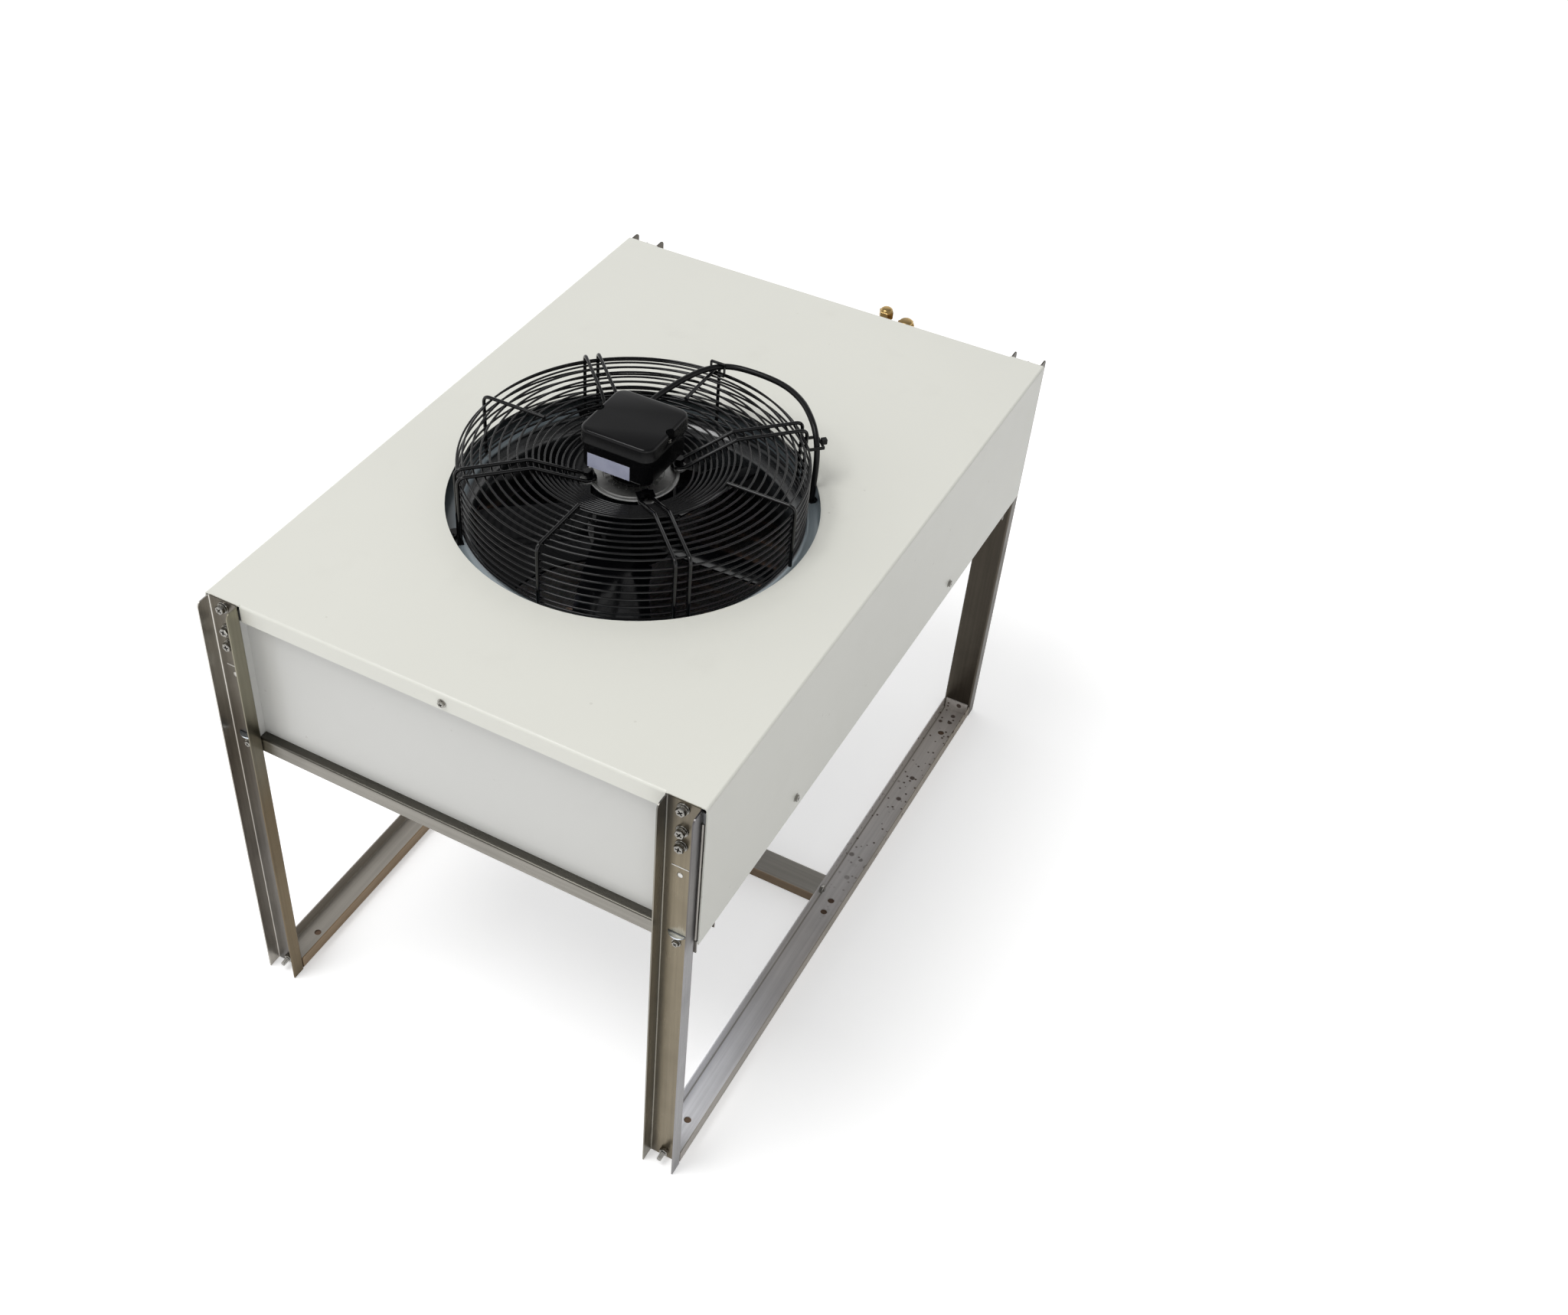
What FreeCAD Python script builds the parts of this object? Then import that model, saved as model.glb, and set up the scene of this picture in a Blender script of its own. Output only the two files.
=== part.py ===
import FreeCAD, Part
import math
import os

# Air-cooled remote condenser: a finned coil lying flat in a painted sheet-metal case, an axial
# fan with a wire guard on top, and a stand of folded stainless channels.
# Millimetres. X runs along the short front side, +Y to the back, +Z up. The origin is on the
# floor, in the middle of the four corner anchor holes of the floor rails.

# Case
case_width = 600.0
case_depth = 875.0
case_top = 610.0
cover_sheet = 1.5
cover_bend = 1.5
skirt_height = 200.0
lip_height = 22.0
lip_end_gap = 1.0

# Stand channels
channel_width = 40.0
channel_depth = 19.0
channel_sheet = 1.5
channel_bend = 1.5
leg_inset = 4.5
leg_below_cover = 1.0
leg_corner_radius = 6.0
leg_slit_drop = 94.0
leg_slit_length = 20.0
leg_slit_height = 1.6
rail_drop = 196.0
rail_tongue_width = 21.0
rail_tongue_reach = 6.4
tongue_clearance = 0.25
foot_tab_height = 22.0
foot_tab_width = 34.0
anchor_hole_radius = 4.5
anchor_hole_inset = 54.0
middle_hole_spacing = 22.0
cross_beam_rise = 1.5
cross_beam_height = 16.0
cross_beam_back = 14.0

# Inner sheets
inner_sheet = 1.5
side_plate_bend = 1.5
hidden_bend = 0.0
side_plate_gap = 1.0
side_plate_flange = 35.5
side_plate_shelf = 18.0
panel_sheet = 1.2
panel_recess = 12.0
panel_flange = 12.0
panel_end_gap = 2.0
deck_drop = 21.5
deck_flange = 15.0

# Coil
tube_radius = 7.94
tube_pitch = 38.1
row_pitch = 33.0
coil_end_room = 45.0
tube_rows = 2
coil_lift = 4.0
fin_pitch = 30.6
fin_thickness = 2.4
fin_relief = 6.0
return_stub = 5.0
return_bend_sides = 4
end_plate_foot = 15.0
end_plate_rise = 7.0
end_plate_bearing = 14.5
hood_depth = 50.0

# Fan position and shroud
fan_forward = 62.5
cover_opening_radius = 210.5
deck_opening_radius = 216.0
deck_opening_sides = 24
shroud_sheet = 1.5
shroud_outer_radius = 236.0
throat_radius = 179.0
bell_radius = 20.0
throat_bottom = 82.0
shroud_sides = 40

# Wire guard
guard_radius = 198.0
guard_height = 65.3
strut_thickness = 4.2
strut_spacing = 15.8
rim_bend = 9.0
ring_wire = 2.5
wall_ring_pitch = 10.0
wall_ring_count = 7
wall_ring_drop = 10.3
base_ring_height = -11.5
top_ring_radius = 188.0
top_ring_pitch = 10.0
top_ring_count = 8
cone_ring_radius = 111.0
cone_ring_pitch = 6.4
cone_ring_count = 8
cone_outer_radius = 116.5
cone_inner_radius = 56.0
short_strut_inner_radius = 116.0
short_strut_bottom = -14.0
ring_sides = 16
guard_foot_length = 15.0
guard_foot_width = 30.0
guard_foot_sheet = 1.5
guard_foot_screw_reach = 9.0

# Motor
stator_cover_top = 35.6
stator_cover_radius = 51.0
stator_cover_rim = 4.0
stator_spigot_depth = 6.0
stator_core_length = 68.0
stator_core_sides = 24
motor_sides = 32
shaft_radius = 6.0
shaft_running_fit = 0.05
shaft_end_gap = 1.5
rotor_radius = 48.0
rotor_wall = 4.0
rotor_height = 90.0
rotor_rim_gap = 3.0
rotor_boss_radius = 12.0
rotor_boss_height = 8.0
motor_air_gap = 1.0
neck_radius = 24.0
neck_sides = 12
lug_radius = 9.0
lug_reach = 52.0
clamp_plate_inward = 8.0
clamp_plate_outward = 3.5
clamp_plate_thickness = 1.8

# Impeller
blade_count = 5
hub_wall = 3.0
hub_height = 36.0
hub_above_rotor_floor = 3.4
blade_tip_gap = 3.5
blade_thickness = 2.4
blade_angle = 24.0
blade_camber_radius = 210.0
blade_root_width = 66.0
blade_tip_width = 120.0
blade_lead = 34.0
blade_blank_share = 1.1

# Terminal box
box_half_width = 45.8
box_corner = 13.0
box_foot = 55.4
box_lid_foot = 88.0
box_top = 105.4
box_step = 2.5
lid_notch_radius = 6.5
lid_notch_floor = 4.0
lid_screw_across_flats = 6.0
lid_screw_height = 3.0

# Motor cable, from the fan axis and the top of the cover
cable_radius = 3.5
cable_sides = 6
cable_corner_share = 0.25
cable_exit_x = -30.0
cable_exit_height = 68.0
cable_points = [(-30.0, 84.0, 68.0), (-24.0, 112.0, 70.5), (-16.0, 141.0, 72.5), (-6.0, 170.0, 72.6),
                (13.0, 193.0, 71.8), (49.0, 196.5, 72.0), (88.0, 190.5, 73.0), (119.0, 174.0, 72.0),
                (140.5, 153.0, 69.5), (154.0, 139.0, 61.5), (162.5, 128.5, 46.0),
                (164.6, 124.8, 20.0), (163.0, 125.8, -5.0), (163.0, 125.8, -30.0)]
gland_nut_across_flats = 19.0
gland_nut_length = 6.0
gland_radius = 7.5
gland_length = 16.0
grommet_radius = 5.2
grommet_sides = 8
grommet_lip = 0.9
grommet_lip_height = 1.5
tie_width = 3.6
tie_thickness = 1.4
tie_head = 6.0
rear_tie_x = (-3.0, 13.0)
rear_tie_y = 181.5
rear_tie_z = (62.8, 77.0)
side_tie_out = (195.4, 211.5)
side_tie_across = (-26.0, -5.3)
side_tie_z = 49.8
cable_clearance = 0.6

# Service valves at the rear
valve_drop = 76.0
flare_rise = 22.0
valve_stand_off = 37.0
liquid_valve_x = 70.0
gas_valve_x = 99.0
liquid_body_radius = 8.0
gas_body_radius = 10.0
liquid_valve_height = 66.0
gas_valve_height = 57.0
liquid_cap_across_flats = 16.8
gas_cap_across_flats = 20.0
cap_height = 14.0
liquid_flare_radius = 7.9375
gas_flare_radius = 9.525
flare_length = 16.0
valve_foot = 3.0
valve_sides = 8
inlet_length = 4.0
inlet_step = 1.0
collar_rise = 2.0
collar_length = 4.0
cap_dome = 3.0
liquid_pipe_radius = 4.8
gas_pipe_radius = 6.35
pipe_clearance = 1.5
pipe_out = 20.0
pipe_bend = 16.0
bracket_sheet = 2.0
bracket_drop = 26.0
bracket_margin = 12.0

# Screws
screw_across_flats = 10.0
screw_head = 4.5
small_screw_across_flats = 7.0
small_screw_head = 2.6
leg_screw_drops = (10.0, 41.0, 62.0)
rail_screw_drop = 14.5
foot_bolt_height = 12.0
foot_bolt_radius = 3.0
foot_bolt_length = 15.0
nut_height = 5.0
nut_across_flats = 10.0
lip_screw_drop = 12.5
skirt_screw_rise = 20.0
skirt_screw_front = 222.0
skirt_screw_back = 199.0

# Making: how far a cutting tool stands past its cut, the seam left in a filled section, and the
# length under which two points are one
tool_spare = 1.0
section_seam = 0.01
same_point = 1e-6

half_width = case_width / 2
half_depth = case_depth / 2
cover_under = case_top - cover_sheet
skirt_bottom = case_top - skirt_height
leg_x = half_width - leg_inset - channel_width / 2
leg_face = half_depth + channel_sheet
leg_top = case_top - leg_below_cover
rail_top = case_top - rail_drop
deck_top = case_top - deck_drop
deck_under = deck_top - inner_sheet
side_plate_x = half_width - cover_sheet - side_plate_gap
panel_y = half_depth - panel_recess
rail_inner_y = half_depth - channel_width
coil_bottom = rail_top + coil_lift
coil_top = coil_bottom + tube_rows * row_pitch
# Columns come in pairs, one for each return bend, as many as the depth takes.
tube_columns = 2 * int((2 * (half_depth - coil_end_room) / tube_pitch - 0.5) / 2)
coil_half_depth = tube_columns * tube_pitch / 2 + tube_pitch / 4
end_plate_top = coil_top + end_plate_rise
end_plate_x = side_plate_x - inner_sheet - hood_depth
end_plate_face = end_plate_x + inner_sheet
fan_y = -fan_forward
foot_top = shroud_sheet + guard_foot_sheet - deck_drop
rotor_top = stator_cover_top - stator_cover_rim - rotor_rim_gap
rotor_floor = rotor_top - rotor_height
hub_radius = rotor_radius + hub_wall
hub_bottom = rotor_floor + hub_above_rotor_floor
core_top = stator_cover_top - stator_cover_rim - stator_spigot_depth
stator_core_radius = rotor_radius - rotor_wall - motor_air_gap
valve_y = half_depth + valve_stand_off
valve_bottom = case_top - valve_drop
flare_height = valve_bottom + flare_rise
liquid_cap_top = valve_bottom + liquid_valve_height
gas_cap_top = valve_bottom + gas_valve_height
gland_mouth = box_half_width - box_step + gland_length


def vec(x, y, z=0.0):
    return FreeCAD.Vector(x, y, z)


def turned(shape, angle):
    placed = shape.copy()
    placed.rotate(vec(0, 0), vec(0, 0, 1), angle)
    return placed


def on_fan(shape, angle=0.0):
    """Turns a shape about the fan axis and lifts it from there to the top of the cover."""
    placed = turned(shape, angle)
    placed.translate(vec(0, fan_y, case_top))
    return placed


def half_turned(shape):
    """The same piece at the opposite corner of the case."""
    return turned(shape, 180)


def mirrored_x(shape):
    return shape.mirror(vec(0, 0), vec(1, 0))


def block(x, y, z):
    """A block between the two values given for each axis."""
    size = [max(pair) - min(pair) for pair in (x, y, z)]
    return Part.makeBox(*size, vec(min(x), min(y), min(z)))


def rod(radius, foot, along):
    return Part.makeCylinder(radius, along.Length, foot, along)


def joined(shapes):
    return shapes[0].multiFuse(shapes[1:]).removeSplitter()


def outline(points, radii=None):
    """A closed line through points, with an arc of the given radius at each corner."""
    count = len(points)
    radii = radii or [0] * count
    corners = []
    for i, point in enumerate(points):
        if radii[i] == 0:
            corners.append((point, None, point))
            continue
        back = (points[i - 1] - point).normalize()
        ahead = (points[(i + 1) % count] - point).normalize()
        half = back.getAngle(ahead) / 2
        reach = radii[i] / math.tan(half)
        inward = (back + ahead).normalize() * (radii[i] / math.sin(half) - radii[i])
        corners.append((point + back * reach, point + inward, point + ahead * reach))
    edges = []
    for i, (start, middle, end) in enumerate(corners):
        if middle is not None:
            edges.append(Part.Arc(start, middle, end).toShape())
        following = corners[(i + 1) % count][0]
        if (following - end).Length > same_point:
            edges.append(Part.LineSegment(end, following).toShape())
    return Part.Wire(edges)


def rounded_block(half_x, half_y, corner, bottom, top):
    points = [vec(-half_x, -half_y, bottom), vec(half_x, -half_y, bottom),
              vec(half_x, half_y, bottom), vec(-half_x, half_y, bottom)]
    return Part.Face(outline(points, [corner] * 4)).extrude(vec(0, 0, top - bottom))


def folded_sheet(points, sheet, bend, sweep):
    """A folded sheet drawn along sweep. points is its one face, and its thickness lies to the
    left of them as seen with sweep pointing at the viewer. Folds have the inner radius bend."""
    up = vec(*sweep).normalize()
    runs = [(b - a).normalize() for a, b in zip(points, points[1:])]
    sides = [up.cross(run) for run in runs]
    far = [points[0] + sides[0] * sheet]
    near_radii = [0]
    far_radii = [0]
    for i in range(1, len(points) - 1):
        mitre = sides[i - 1] + sides[i]
        far.append(points[i] + mitre * (sheet / mitre.dot(sides[i])))
        turns_left = up.dot(runs[i - 1].cross(runs[i])) > 0
        outer = bend + sheet if bend else 0
        near_radii.append(outer if turns_left else bend)
        far_radii.append(bend if turns_left else outer)
    far.append(points[-1] + sides[-1] * sheet)
    near_radii.append(0)
    far_radii.append(0)
    section = outline(points + far[::-1], near_radii + far_radii[::-1])
    return Part.Face(section).extrude(vec(*sweep))


def faceted(points, sides):
    """A closed band about Z from (flat radius, height) points, with flat sides."""
    angles = [2 * math.pi * i / sides for i in range(sides)]
    rings = []
    for radius, height in points:
        corner_radius = radius / math.cos(math.pi / sides)
        rings.append([vec(corner_radius * math.cos(angle), corner_radius * math.sin(angle), height)
                      for angle in angles])
    faces = []
    for first, second in zip(rings, rings[1:] + rings[:1]):
        for i in range(sides):
            faces.append(Part.Face(outline([first[i - 1], first[i], second[i], second[i - 1]])))
    solid = Part.Solid(Part.Shell(faces))
    return solid if solid.Volume > 0 else solid.reversed()


def prism(flat_radius, sides, foot, along):
    """A regular prism with a flat side, at flat_radius from its axis, facing sideways."""
    axis = vec(along.x, along.y, along.z).normalize()
    across = axis.cross(vec(0, 0, 1))
    across = across.normalize() if across.Length > same_point else vec(1, 0)
    other = axis.cross(across)
    corner_radius = flat_radius / math.cos(math.pi / sides)
    points = []
    for i in range(sides):
        angle = (2 * i + 1) * math.pi / sides
        points.append(foot + (across * math.cos(angle) + other * math.sin(angle)) * corner_radius)
    return Part.Face(outline(points)).extrude(along)


def bent_bar(points, across_flats, sides, facing):
    """A bar of regular section through points, mitred at each, with one flat turned to facing."""
    runs = [(b - a).normalize() for a, b in zip(points, points[1:])]
    across = (facing - runs[0] * facing.dot(runs[0])).normalize()
    other = runs[0].cross(across)
    corner_radius = across_flats / 2 / math.cos(math.pi / sides)
    ring = []
    for i in range(sides):
        angle = (2 * i + 1) * math.pi / sides
        ring.append(points[0] + (across * math.cos(angle) + other * math.sin(angle)) * corner_radius)
    rings = [ring]
    for i, run in enumerate(runs):
        ahead = runs[min(i + 1, len(runs) - 1)]
        plane = run + ahead
        point = points[i + 1]
        ring = [corner + run * ((point - corner).dot(plane) / run.dot(plane)) for corner in ring]
        rings.append(ring)
    faces = [Part.Face(outline(rings[0])), Part.Face(outline(rings[-1]))]
    for first, second in zip(rings, rings[1:]):
        for i in range(sides):
            faces.append(Part.Face(outline([first[i - 1], first[i], second[i], second[i - 1]])))
    return Part.Solid(Part.Shell(faces))


def eased(points, radius, steps):
    """The same route with each inner corner cut into steps short runs that touch its arc."""
    route = [points[0]]
    for before, point, after in zip(points, points[1:], points[2:]):
        back = (before - point).normalize()
        ahead = (after - point).normalize()
        half = back.getAngle(ahead) / 2
        centre = point + (back + ahead).normalize() * (radius / math.sin(half))
        first = point + back * (radius / math.tan(half)) - centre
        last = point + ahead * (radius / math.tan(half)) - centre
        whole = math.pi - 2 * half
        stretch = 1 / math.cos(whole / steps / 2)
        for i in range(steps):
            share = (i + 0.5) / steps
            spoke = first * math.sin((1 - share) * whole) + last * math.sin(share * whole)
            route.append(centre + spoke * (stretch / math.sin(whole)))
    return route + [points[-1]]


def headed(foot, out, across_flats, height):
    """A hexagon head standing on foot."""
    return prism(across_flats / 2, 6, foot, out * height)


# Painted cover: top and side skirts from one sheet, with short lips between the legs
def cover():
    front = -half_depth
    skirt = folded_sheet([vec(-half_width, front, skirt_bottom), vec(-half_width, front, case_top),
                          vec(half_width, front, case_top), vec(half_width, front, skirt_bottom)],
                         cover_sheet, cover_bend, (0, case_depth, 0))
    lip_half = leg_x - channel_width / 2 - lip_end_gap
    fold = cover_sheet + cover_bend
    for side in (-1, 1):
        ends = (side * half_depth, side * (half_depth - fold))
        skirt = skirt.cut(block((-lip_half, lip_half), ends, (cover_under, case_top)))
    lip_bottom = case_top - lip_height
    lips = folded_sheet([vec(-lip_half, half_depth, lip_bottom), vec(-lip_half, half_depth, case_top),
                         vec(-lip_half, -half_depth, case_top), vec(-lip_half, -half_depth, lip_bottom)],
                        cover_sheet, cover_bend, (2 * lip_half, 0, 0))
    hole = rod(cover_opening_radius, vec(0, fan_y, cover_under - tool_spare),
               vec(0, 0, cover_sheet + 2 * tool_spare))
    return joined([skirt, lips]).cut(hole)


# Stand
def leg():
    """The front right leg: a channel with its web against the case and its flanges outward."""
    tip = -half_depth - channel_depth
    right = leg_x + channel_width / 2
    left = leg_x - channel_width / 2
    channel = folded_sheet([vec(right, tip), vec(right, -half_depth), vec(left, -half_depth), vec(left, tip)],
                           channel_sheet, channel_bend, (0, 0, leg_top))
    side = outline([vec(left, tip, 0), vec(left, -half_depth, 0), vec(left, -half_depth, leg_top),
                    vec(left, tip, leg_top)], [0, 0, 0, leg_corner_radius])
    channel = channel.common(Part.Face(side).extrude(vec(channel_width, 0, 0)))
    web = (-half_depth + tool_spare, -leg_face - tool_spare)
    slit_z = case_top - leg_slit_drop
    slit = block((leg_x - leg_slit_length / 2, leg_x + leg_slit_length / 2), web,
                 (slit_z - leg_slit_height / 2, slit_z + leg_slit_height / 2))
    slot_half = rail_tongue_width / 2 + tongue_clearance
    slot = block((leg_x - slot_half, leg_x + slot_half), web,
                 (rail_top - channel_sheet - tongue_clearance, rail_top + tongue_clearance))
    return channel.cut(slit).cut(slot)


def front_rail():
    """A channel, web up, whose tongues hook through the slots of the two front legs."""
    bottom = rail_top - channel_depth
    points = [vec(-side_plate_x, -half_depth, bottom), vec(-side_plate_x, -half_depth, rail_top),
              vec(-side_plate_x, -rail_inner_y, rail_top), vec(-side_plate_x, -rail_inner_y, bottom)]
    rail = folded_sheet(points[::-1], channel_sheet, channel_bend, (2 * side_plate_x, 0, 0))
    pieces = [rail]
    for x in (-leg_x, leg_x):
        pieces.append(rail_tongue(x))
    return joined(pieces)


def rail_tongue(x):
    half = rail_tongue_width / 2
    root = -half_depth + channel_sheet + channel_bend
    under = rail_top - channel_sheet
    start = vec(x - half, -leg_face, under)
    end = vec(x + half, -leg_face, under)
    tip = vec(x, -leg_face - rail_tongue_reach, under)
    edges = [Part.Arc(start, tip, end).toShape(),
             Part.LineSegment(end, vec(x + half, root, under)).toShape(),
             Part.LineSegment(vec(x + half, root, under), vec(x - half, root, under)).toShape(),
             Part.LineSegment(vec(x - half, root, under), start).toShape()]
    return Part.Face(Part.Wire(edges)).extrude(vec(0, 0, channel_sheet))


def floor_rail():
    """The right floor rail: a channel, web down, with a tab bent up against each leg."""
    right = leg_x + channel_width / 2
    left = leg_x - channel_width / 2
    rail = folded_sheet([vec(right, -half_depth, channel_depth), vec(right, -half_depth, 0),
                         vec(left, -half_depth, 0), vec(left, -half_depth, channel_depth)],
                        channel_sheet, channel_bend, (0, case_depth, 0))
    pieces = [rail]
    for side in (-1, 1):
        pieces.append(block((leg_x - foot_tab_width / 2, leg_x + foot_tab_width / 2),
                            (side * half_depth, side * (half_depth - channel_sheet)),
                            (channel_sheet, foot_tab_height)))
    rail = joined(pieces)
    end_hole = half_depth - anchor_hole_inset
    for y in (-end_hole, -middle_hole_spacing / 2, middle_hole_spacing / 2, end_hole):
        rail = rail.cut(rod(anchor_hole_radius, vec(leg_x, y, -tool_spare),
                            vec(0, 0, channel_sheet + 2 * tool_spare)))
    return rail


def floor_cross_beam():
    """A channel, web up, between the floor rails, with a tab bent down at each end."""
    end = leg_x - channel_width / 2
    top = channel_depth + cross_beam_rise
    bottom = top - cross_beam_height
    back = cross_beam_back + channel_width / 2
    front = cross_beam_back - channel_width / 2
    points = [vec(-end, back, bottom), vec(-end, back, top), vec(-end, front, top), vec(-end, front, bottom)]
    beam = folded_sheet(points, channel_sheet, channel_bend, (2 * end, 0, 0))
    tabs = [block((side * end, side * (end - channel_sheet)), (front, back), (bottom, top))
            for side in (-1, 1)]
    filled = folded_sheet(points, channel_width / 2 - section_seam, channel_bend, (2 * end, 0, 0))
    return joined([beam] + [tab.common(filled) for tab in tabs])


# Inner sheets
def side_plate():
    """The right side plate: it stands on both rails, turns in behind the legs and carries the deck."""
    inner = side_plate_x - side_plate_flange
    wall = folded_sheet([vec(inner, -half_depth, rail_top), vec(side_plate_x, -half_depth, rail_top),
                         vec(side_plate_x, half_depth, rail_top), vec(inner, half_depth, rail_top)],
                        inner_sheet, side_plate_bend, (0, 0, deck_under - rail_top))
    reach = half_depth - inner_sheet - side_plate_bend
    shelf = block((side_plate_x - side_plate_shelf, side_plate_x), (-reach, reach),
                  (deck_under - inner_sheet, deck_under))
    return joined([wall, shelf])


def front_panel():
    """Set back behind the legs, with flanges back at the rail and the deck and forward at the legs."""
    half = side_plate_x - side_plate_flange - panel_end_gap
    back = -panel_y + panel_flange
    upright = folded_sheet([vec(-half, back, rail_top), vec(-half, -panel_y, rail_top),
                            vec(-half, -panel_y, deck_under), vec(-half, back, deck_under)][::-1],
                           panel_sheet, hidden_bend, (2 * half, 0, 0))
    level = folded_sheet([vec(-half, -half_depth, rail_top), vec(-half, -panel_y, rail_top),
                          vec(half, -panel_y, rail_top), vec(half, -half_depth, rail_top)],
                         panel_sheet, hidden_bend, (0, 0, deck_under - rail_top))
    return joined([upright, level])


def pipe_hole(x, radius):
    return prism(radius + pipe_clearance, 8, vec(x, panel_y - panel_recess, flare_height),
                 vec(0, 2 * panel_recess))


def rear_panel():
    sheet = half_turned(front_panel())
    for x, radius in ((liquid_valve_x, liquid_pipe_radius), (gas_valve_x, gas_pipe_radius)):
        sheet = sheet.cut(pipe_hole(x, radius))
    return sheet


def fan_deck():
    """The sheet under the cover that carries the shroud; its ends turn up behind the cover's lips."""
    end = half_depth - cover_sheet
    top = deck_under + deck_flange
    deck = folded_sheet([vec(-side_plate_x, -end, top), vec(-side_plate_x, -end, deck_under),
                         vec(-side_plate_x, end, deck_under), vec(-side_plate_x, end, top)],
                        inner_sheet, hidden_bend, (2 * side_plate_x, 0, 0))
    return deck.cut(prism(deck_opening_radius, deck_opening_sides, vec(0, fan_y, deck_under - tool_spare),
                          vec(0, 0, inner_sheet + 2 * tool_spare)))


# Coil
def coil_fins():
    """The fin pack: a core with the fins standing out of its upper and lower face."""
    length = 2 * end_plate_x
    gaps = round(length / fin_pitch)
    pitch = (length - fin_thickness) / gaps
    top_edge = []
    bottom_edge = []
    for i in range(gaps + 1):
        start = -end_plate_x + i * pitch
        for x, inner in ((start, True), (start, False), (start + fin_thickness, False),
                         (start + fin_thickness, True)):
            top_edge.append(vec(x, -coil_half_depth, coil_top - fin_relief if inner else coil_top))
            bottom_edge.append(vec(x, -coil_half_depth, coil_bottom + fin_relief if inner else coil_bottom))
    comb = bottom_edge[1:-1] + top_edge[1:-1][::-1]
    return Part.Face(Part.makePolygon(comb + comb[:1])).extrude(vec(0, 2 * coil_half_depth, 0))


def tube_sheet():
    """An end plate of the coil: foot on the rails, hood over the return bends."""
    foot = end_plate_x + end_plate_foot
    hood = side_plate_x - inner_sheet
    reach = rail_inner_y + end_plate_bearing
    return folded_sheet([vec(foot, -reach, rail_top), vec(end_plate_x, -reach, rail_top),
                         vec(end_plate_x, -reach, end_plate_top), vec(hood, -reach, end_plate_top)],
                        inner_sheet, hidden_bend, (0, 2 * reach, 0))


def tube_sheet_left():
    return mirrored_x(tube_sheet())


def tube_sheet_right():
    sheet = tube_sheet()
    for x, y, radius in riser_places():
        hole = prism(radius + pipe_clearance, 8, vec(x, y, coil_top), vec(0, 0, 2 * end_plate_rise))
        sheet = sheet.cut(hole)
    return sheet


def tube_place(column, row):
    """Where a tube's end lies on the outer face of the right end plate; the rows are staggered."""
    stagger = tube_pitch / 4 * (1 if row % 2 == 0 else -1)
    return vec(end_plate_face, (column - (tube_columns - 1) / 2) * tube_pitch - stagger,
               coil_bottom + (row + 0.5) * row_pitch)


def return_bend(start, end):
    """A U of tube between two tube ends, standing on the end plate."""
    stub = vec(return_stub, 0)
    middle = (start + end) / 2 + stub
    radius = (end - start).Length / 2
    along = (start - end).normalize()
    route = [start]
    for i in range(3):
        angle = math.radians(30 + 60 * i)
        reach = radius / math.cos(math.radians(30))
        route.append(middle + along * (reach * math.cos(angle)) + vec(reach * math.sin(angle), 0))
    route.append(end)
    return bent_bar(route, 2 * tube_radius, return_bend_sides, along.cross(vec(1, 0)))


def return_bends_right():
    """Each row's tubes joined in pairs, and the two rows joined at the front."""
    bends = [return_bend(tube_place(0, 0), tube_place(0, 1))]
    for row in range(tube_rows):
        for column in range(1, tube_columns - 2, 2):
            bends.append(return_bend(tube_place(column, row), tube_place(column + 1, row)))
    return Part.makeCompound(bends)


def return_bends_left():
    bends = []
    for row in range(tube_rows):
        for column in range(0, tube_columns - 1, 2):
            bends.append(return_bend(tube_place(column, row), tube_place(column + 1, row)))
    return mirrored_x(Part.makeCompound(bends))


def riser_places():
    """The two pipes that rise beside the end plate: x, y and radius."""
    last = tube_columns - 1
    x = end_plate_face + pipe_out
    return ((x, tube_place(last, 0).y, liquid_pipe_radius), (x, tube_place(last, 1).y, gas_pipe_radius))


def coil_pipe(row, radius, valve_x, body_radius):
    """From a tube's end up through the hood, along the rear panel and out to the valve."""
    start = tube_place(tube_columns - 1, row)
    x = end_plate_face + pipe_out
    mouth = valve_y - body_radius - inlet_length
    route = [start, vec(x, start.y, start.z), vec(x, start.y, flare_height),
             vec(valve_x, start.y, flare_height), vec(valve_x, mouth, flare_height)]
    return bent_bar(eased(route, pipe_bend, 2), 2 * radius, 8, vec(0, 0, 1))


# Shroud and guard
def fan_shroud():
    """Flange, flared lip and throat in one sheet, with flat sides."""
    top = shroud_sheet - deck_drop
    under = top - shroud_sheet
    lip = throat_radius + bell_radius
    outer = throat_radius + shroud_sheet
    slant = bell_radius * (1 - math.sqrt(0.5))
    outer_slant = (bell_radius - shroud_sheet) * (1 - math.sqrt(0.5))
    shroud = faceted([(shroud_outer_radius, under), (shroud_outer_radius, top), (lip, top),
                      (throat_radius + slant, top - slant), (throat_radius, top - bell_radius),
                      (throat_radius, -throat_bottom), (outer, -throat_bottom), (outer, top - bell_radius),
                      (outer + outer_slant, under - outer_slant), (lip, under)], shroud_sides)
    x, y = cable_points[-1][:2]
    grommet_hole = prism(grommet_radius, grommet_sides, vec(x, y, under - tool_spare),
                         vec(0, 0, shroud_sheet + 2 * tool_spare))
    return on_fan(shroud.cut(grommet_hole))


def cone_height(radius):
    """Height of the middle of a strut where it slopes from the flat top down to the motor."""
    low = stator_cover_top + strut_thickness / 2
    share = (radius - cone_inner_radius) / (cone_outer_radius - cone_inner_radius)
    return low + (guard_height - low) * share


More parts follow.
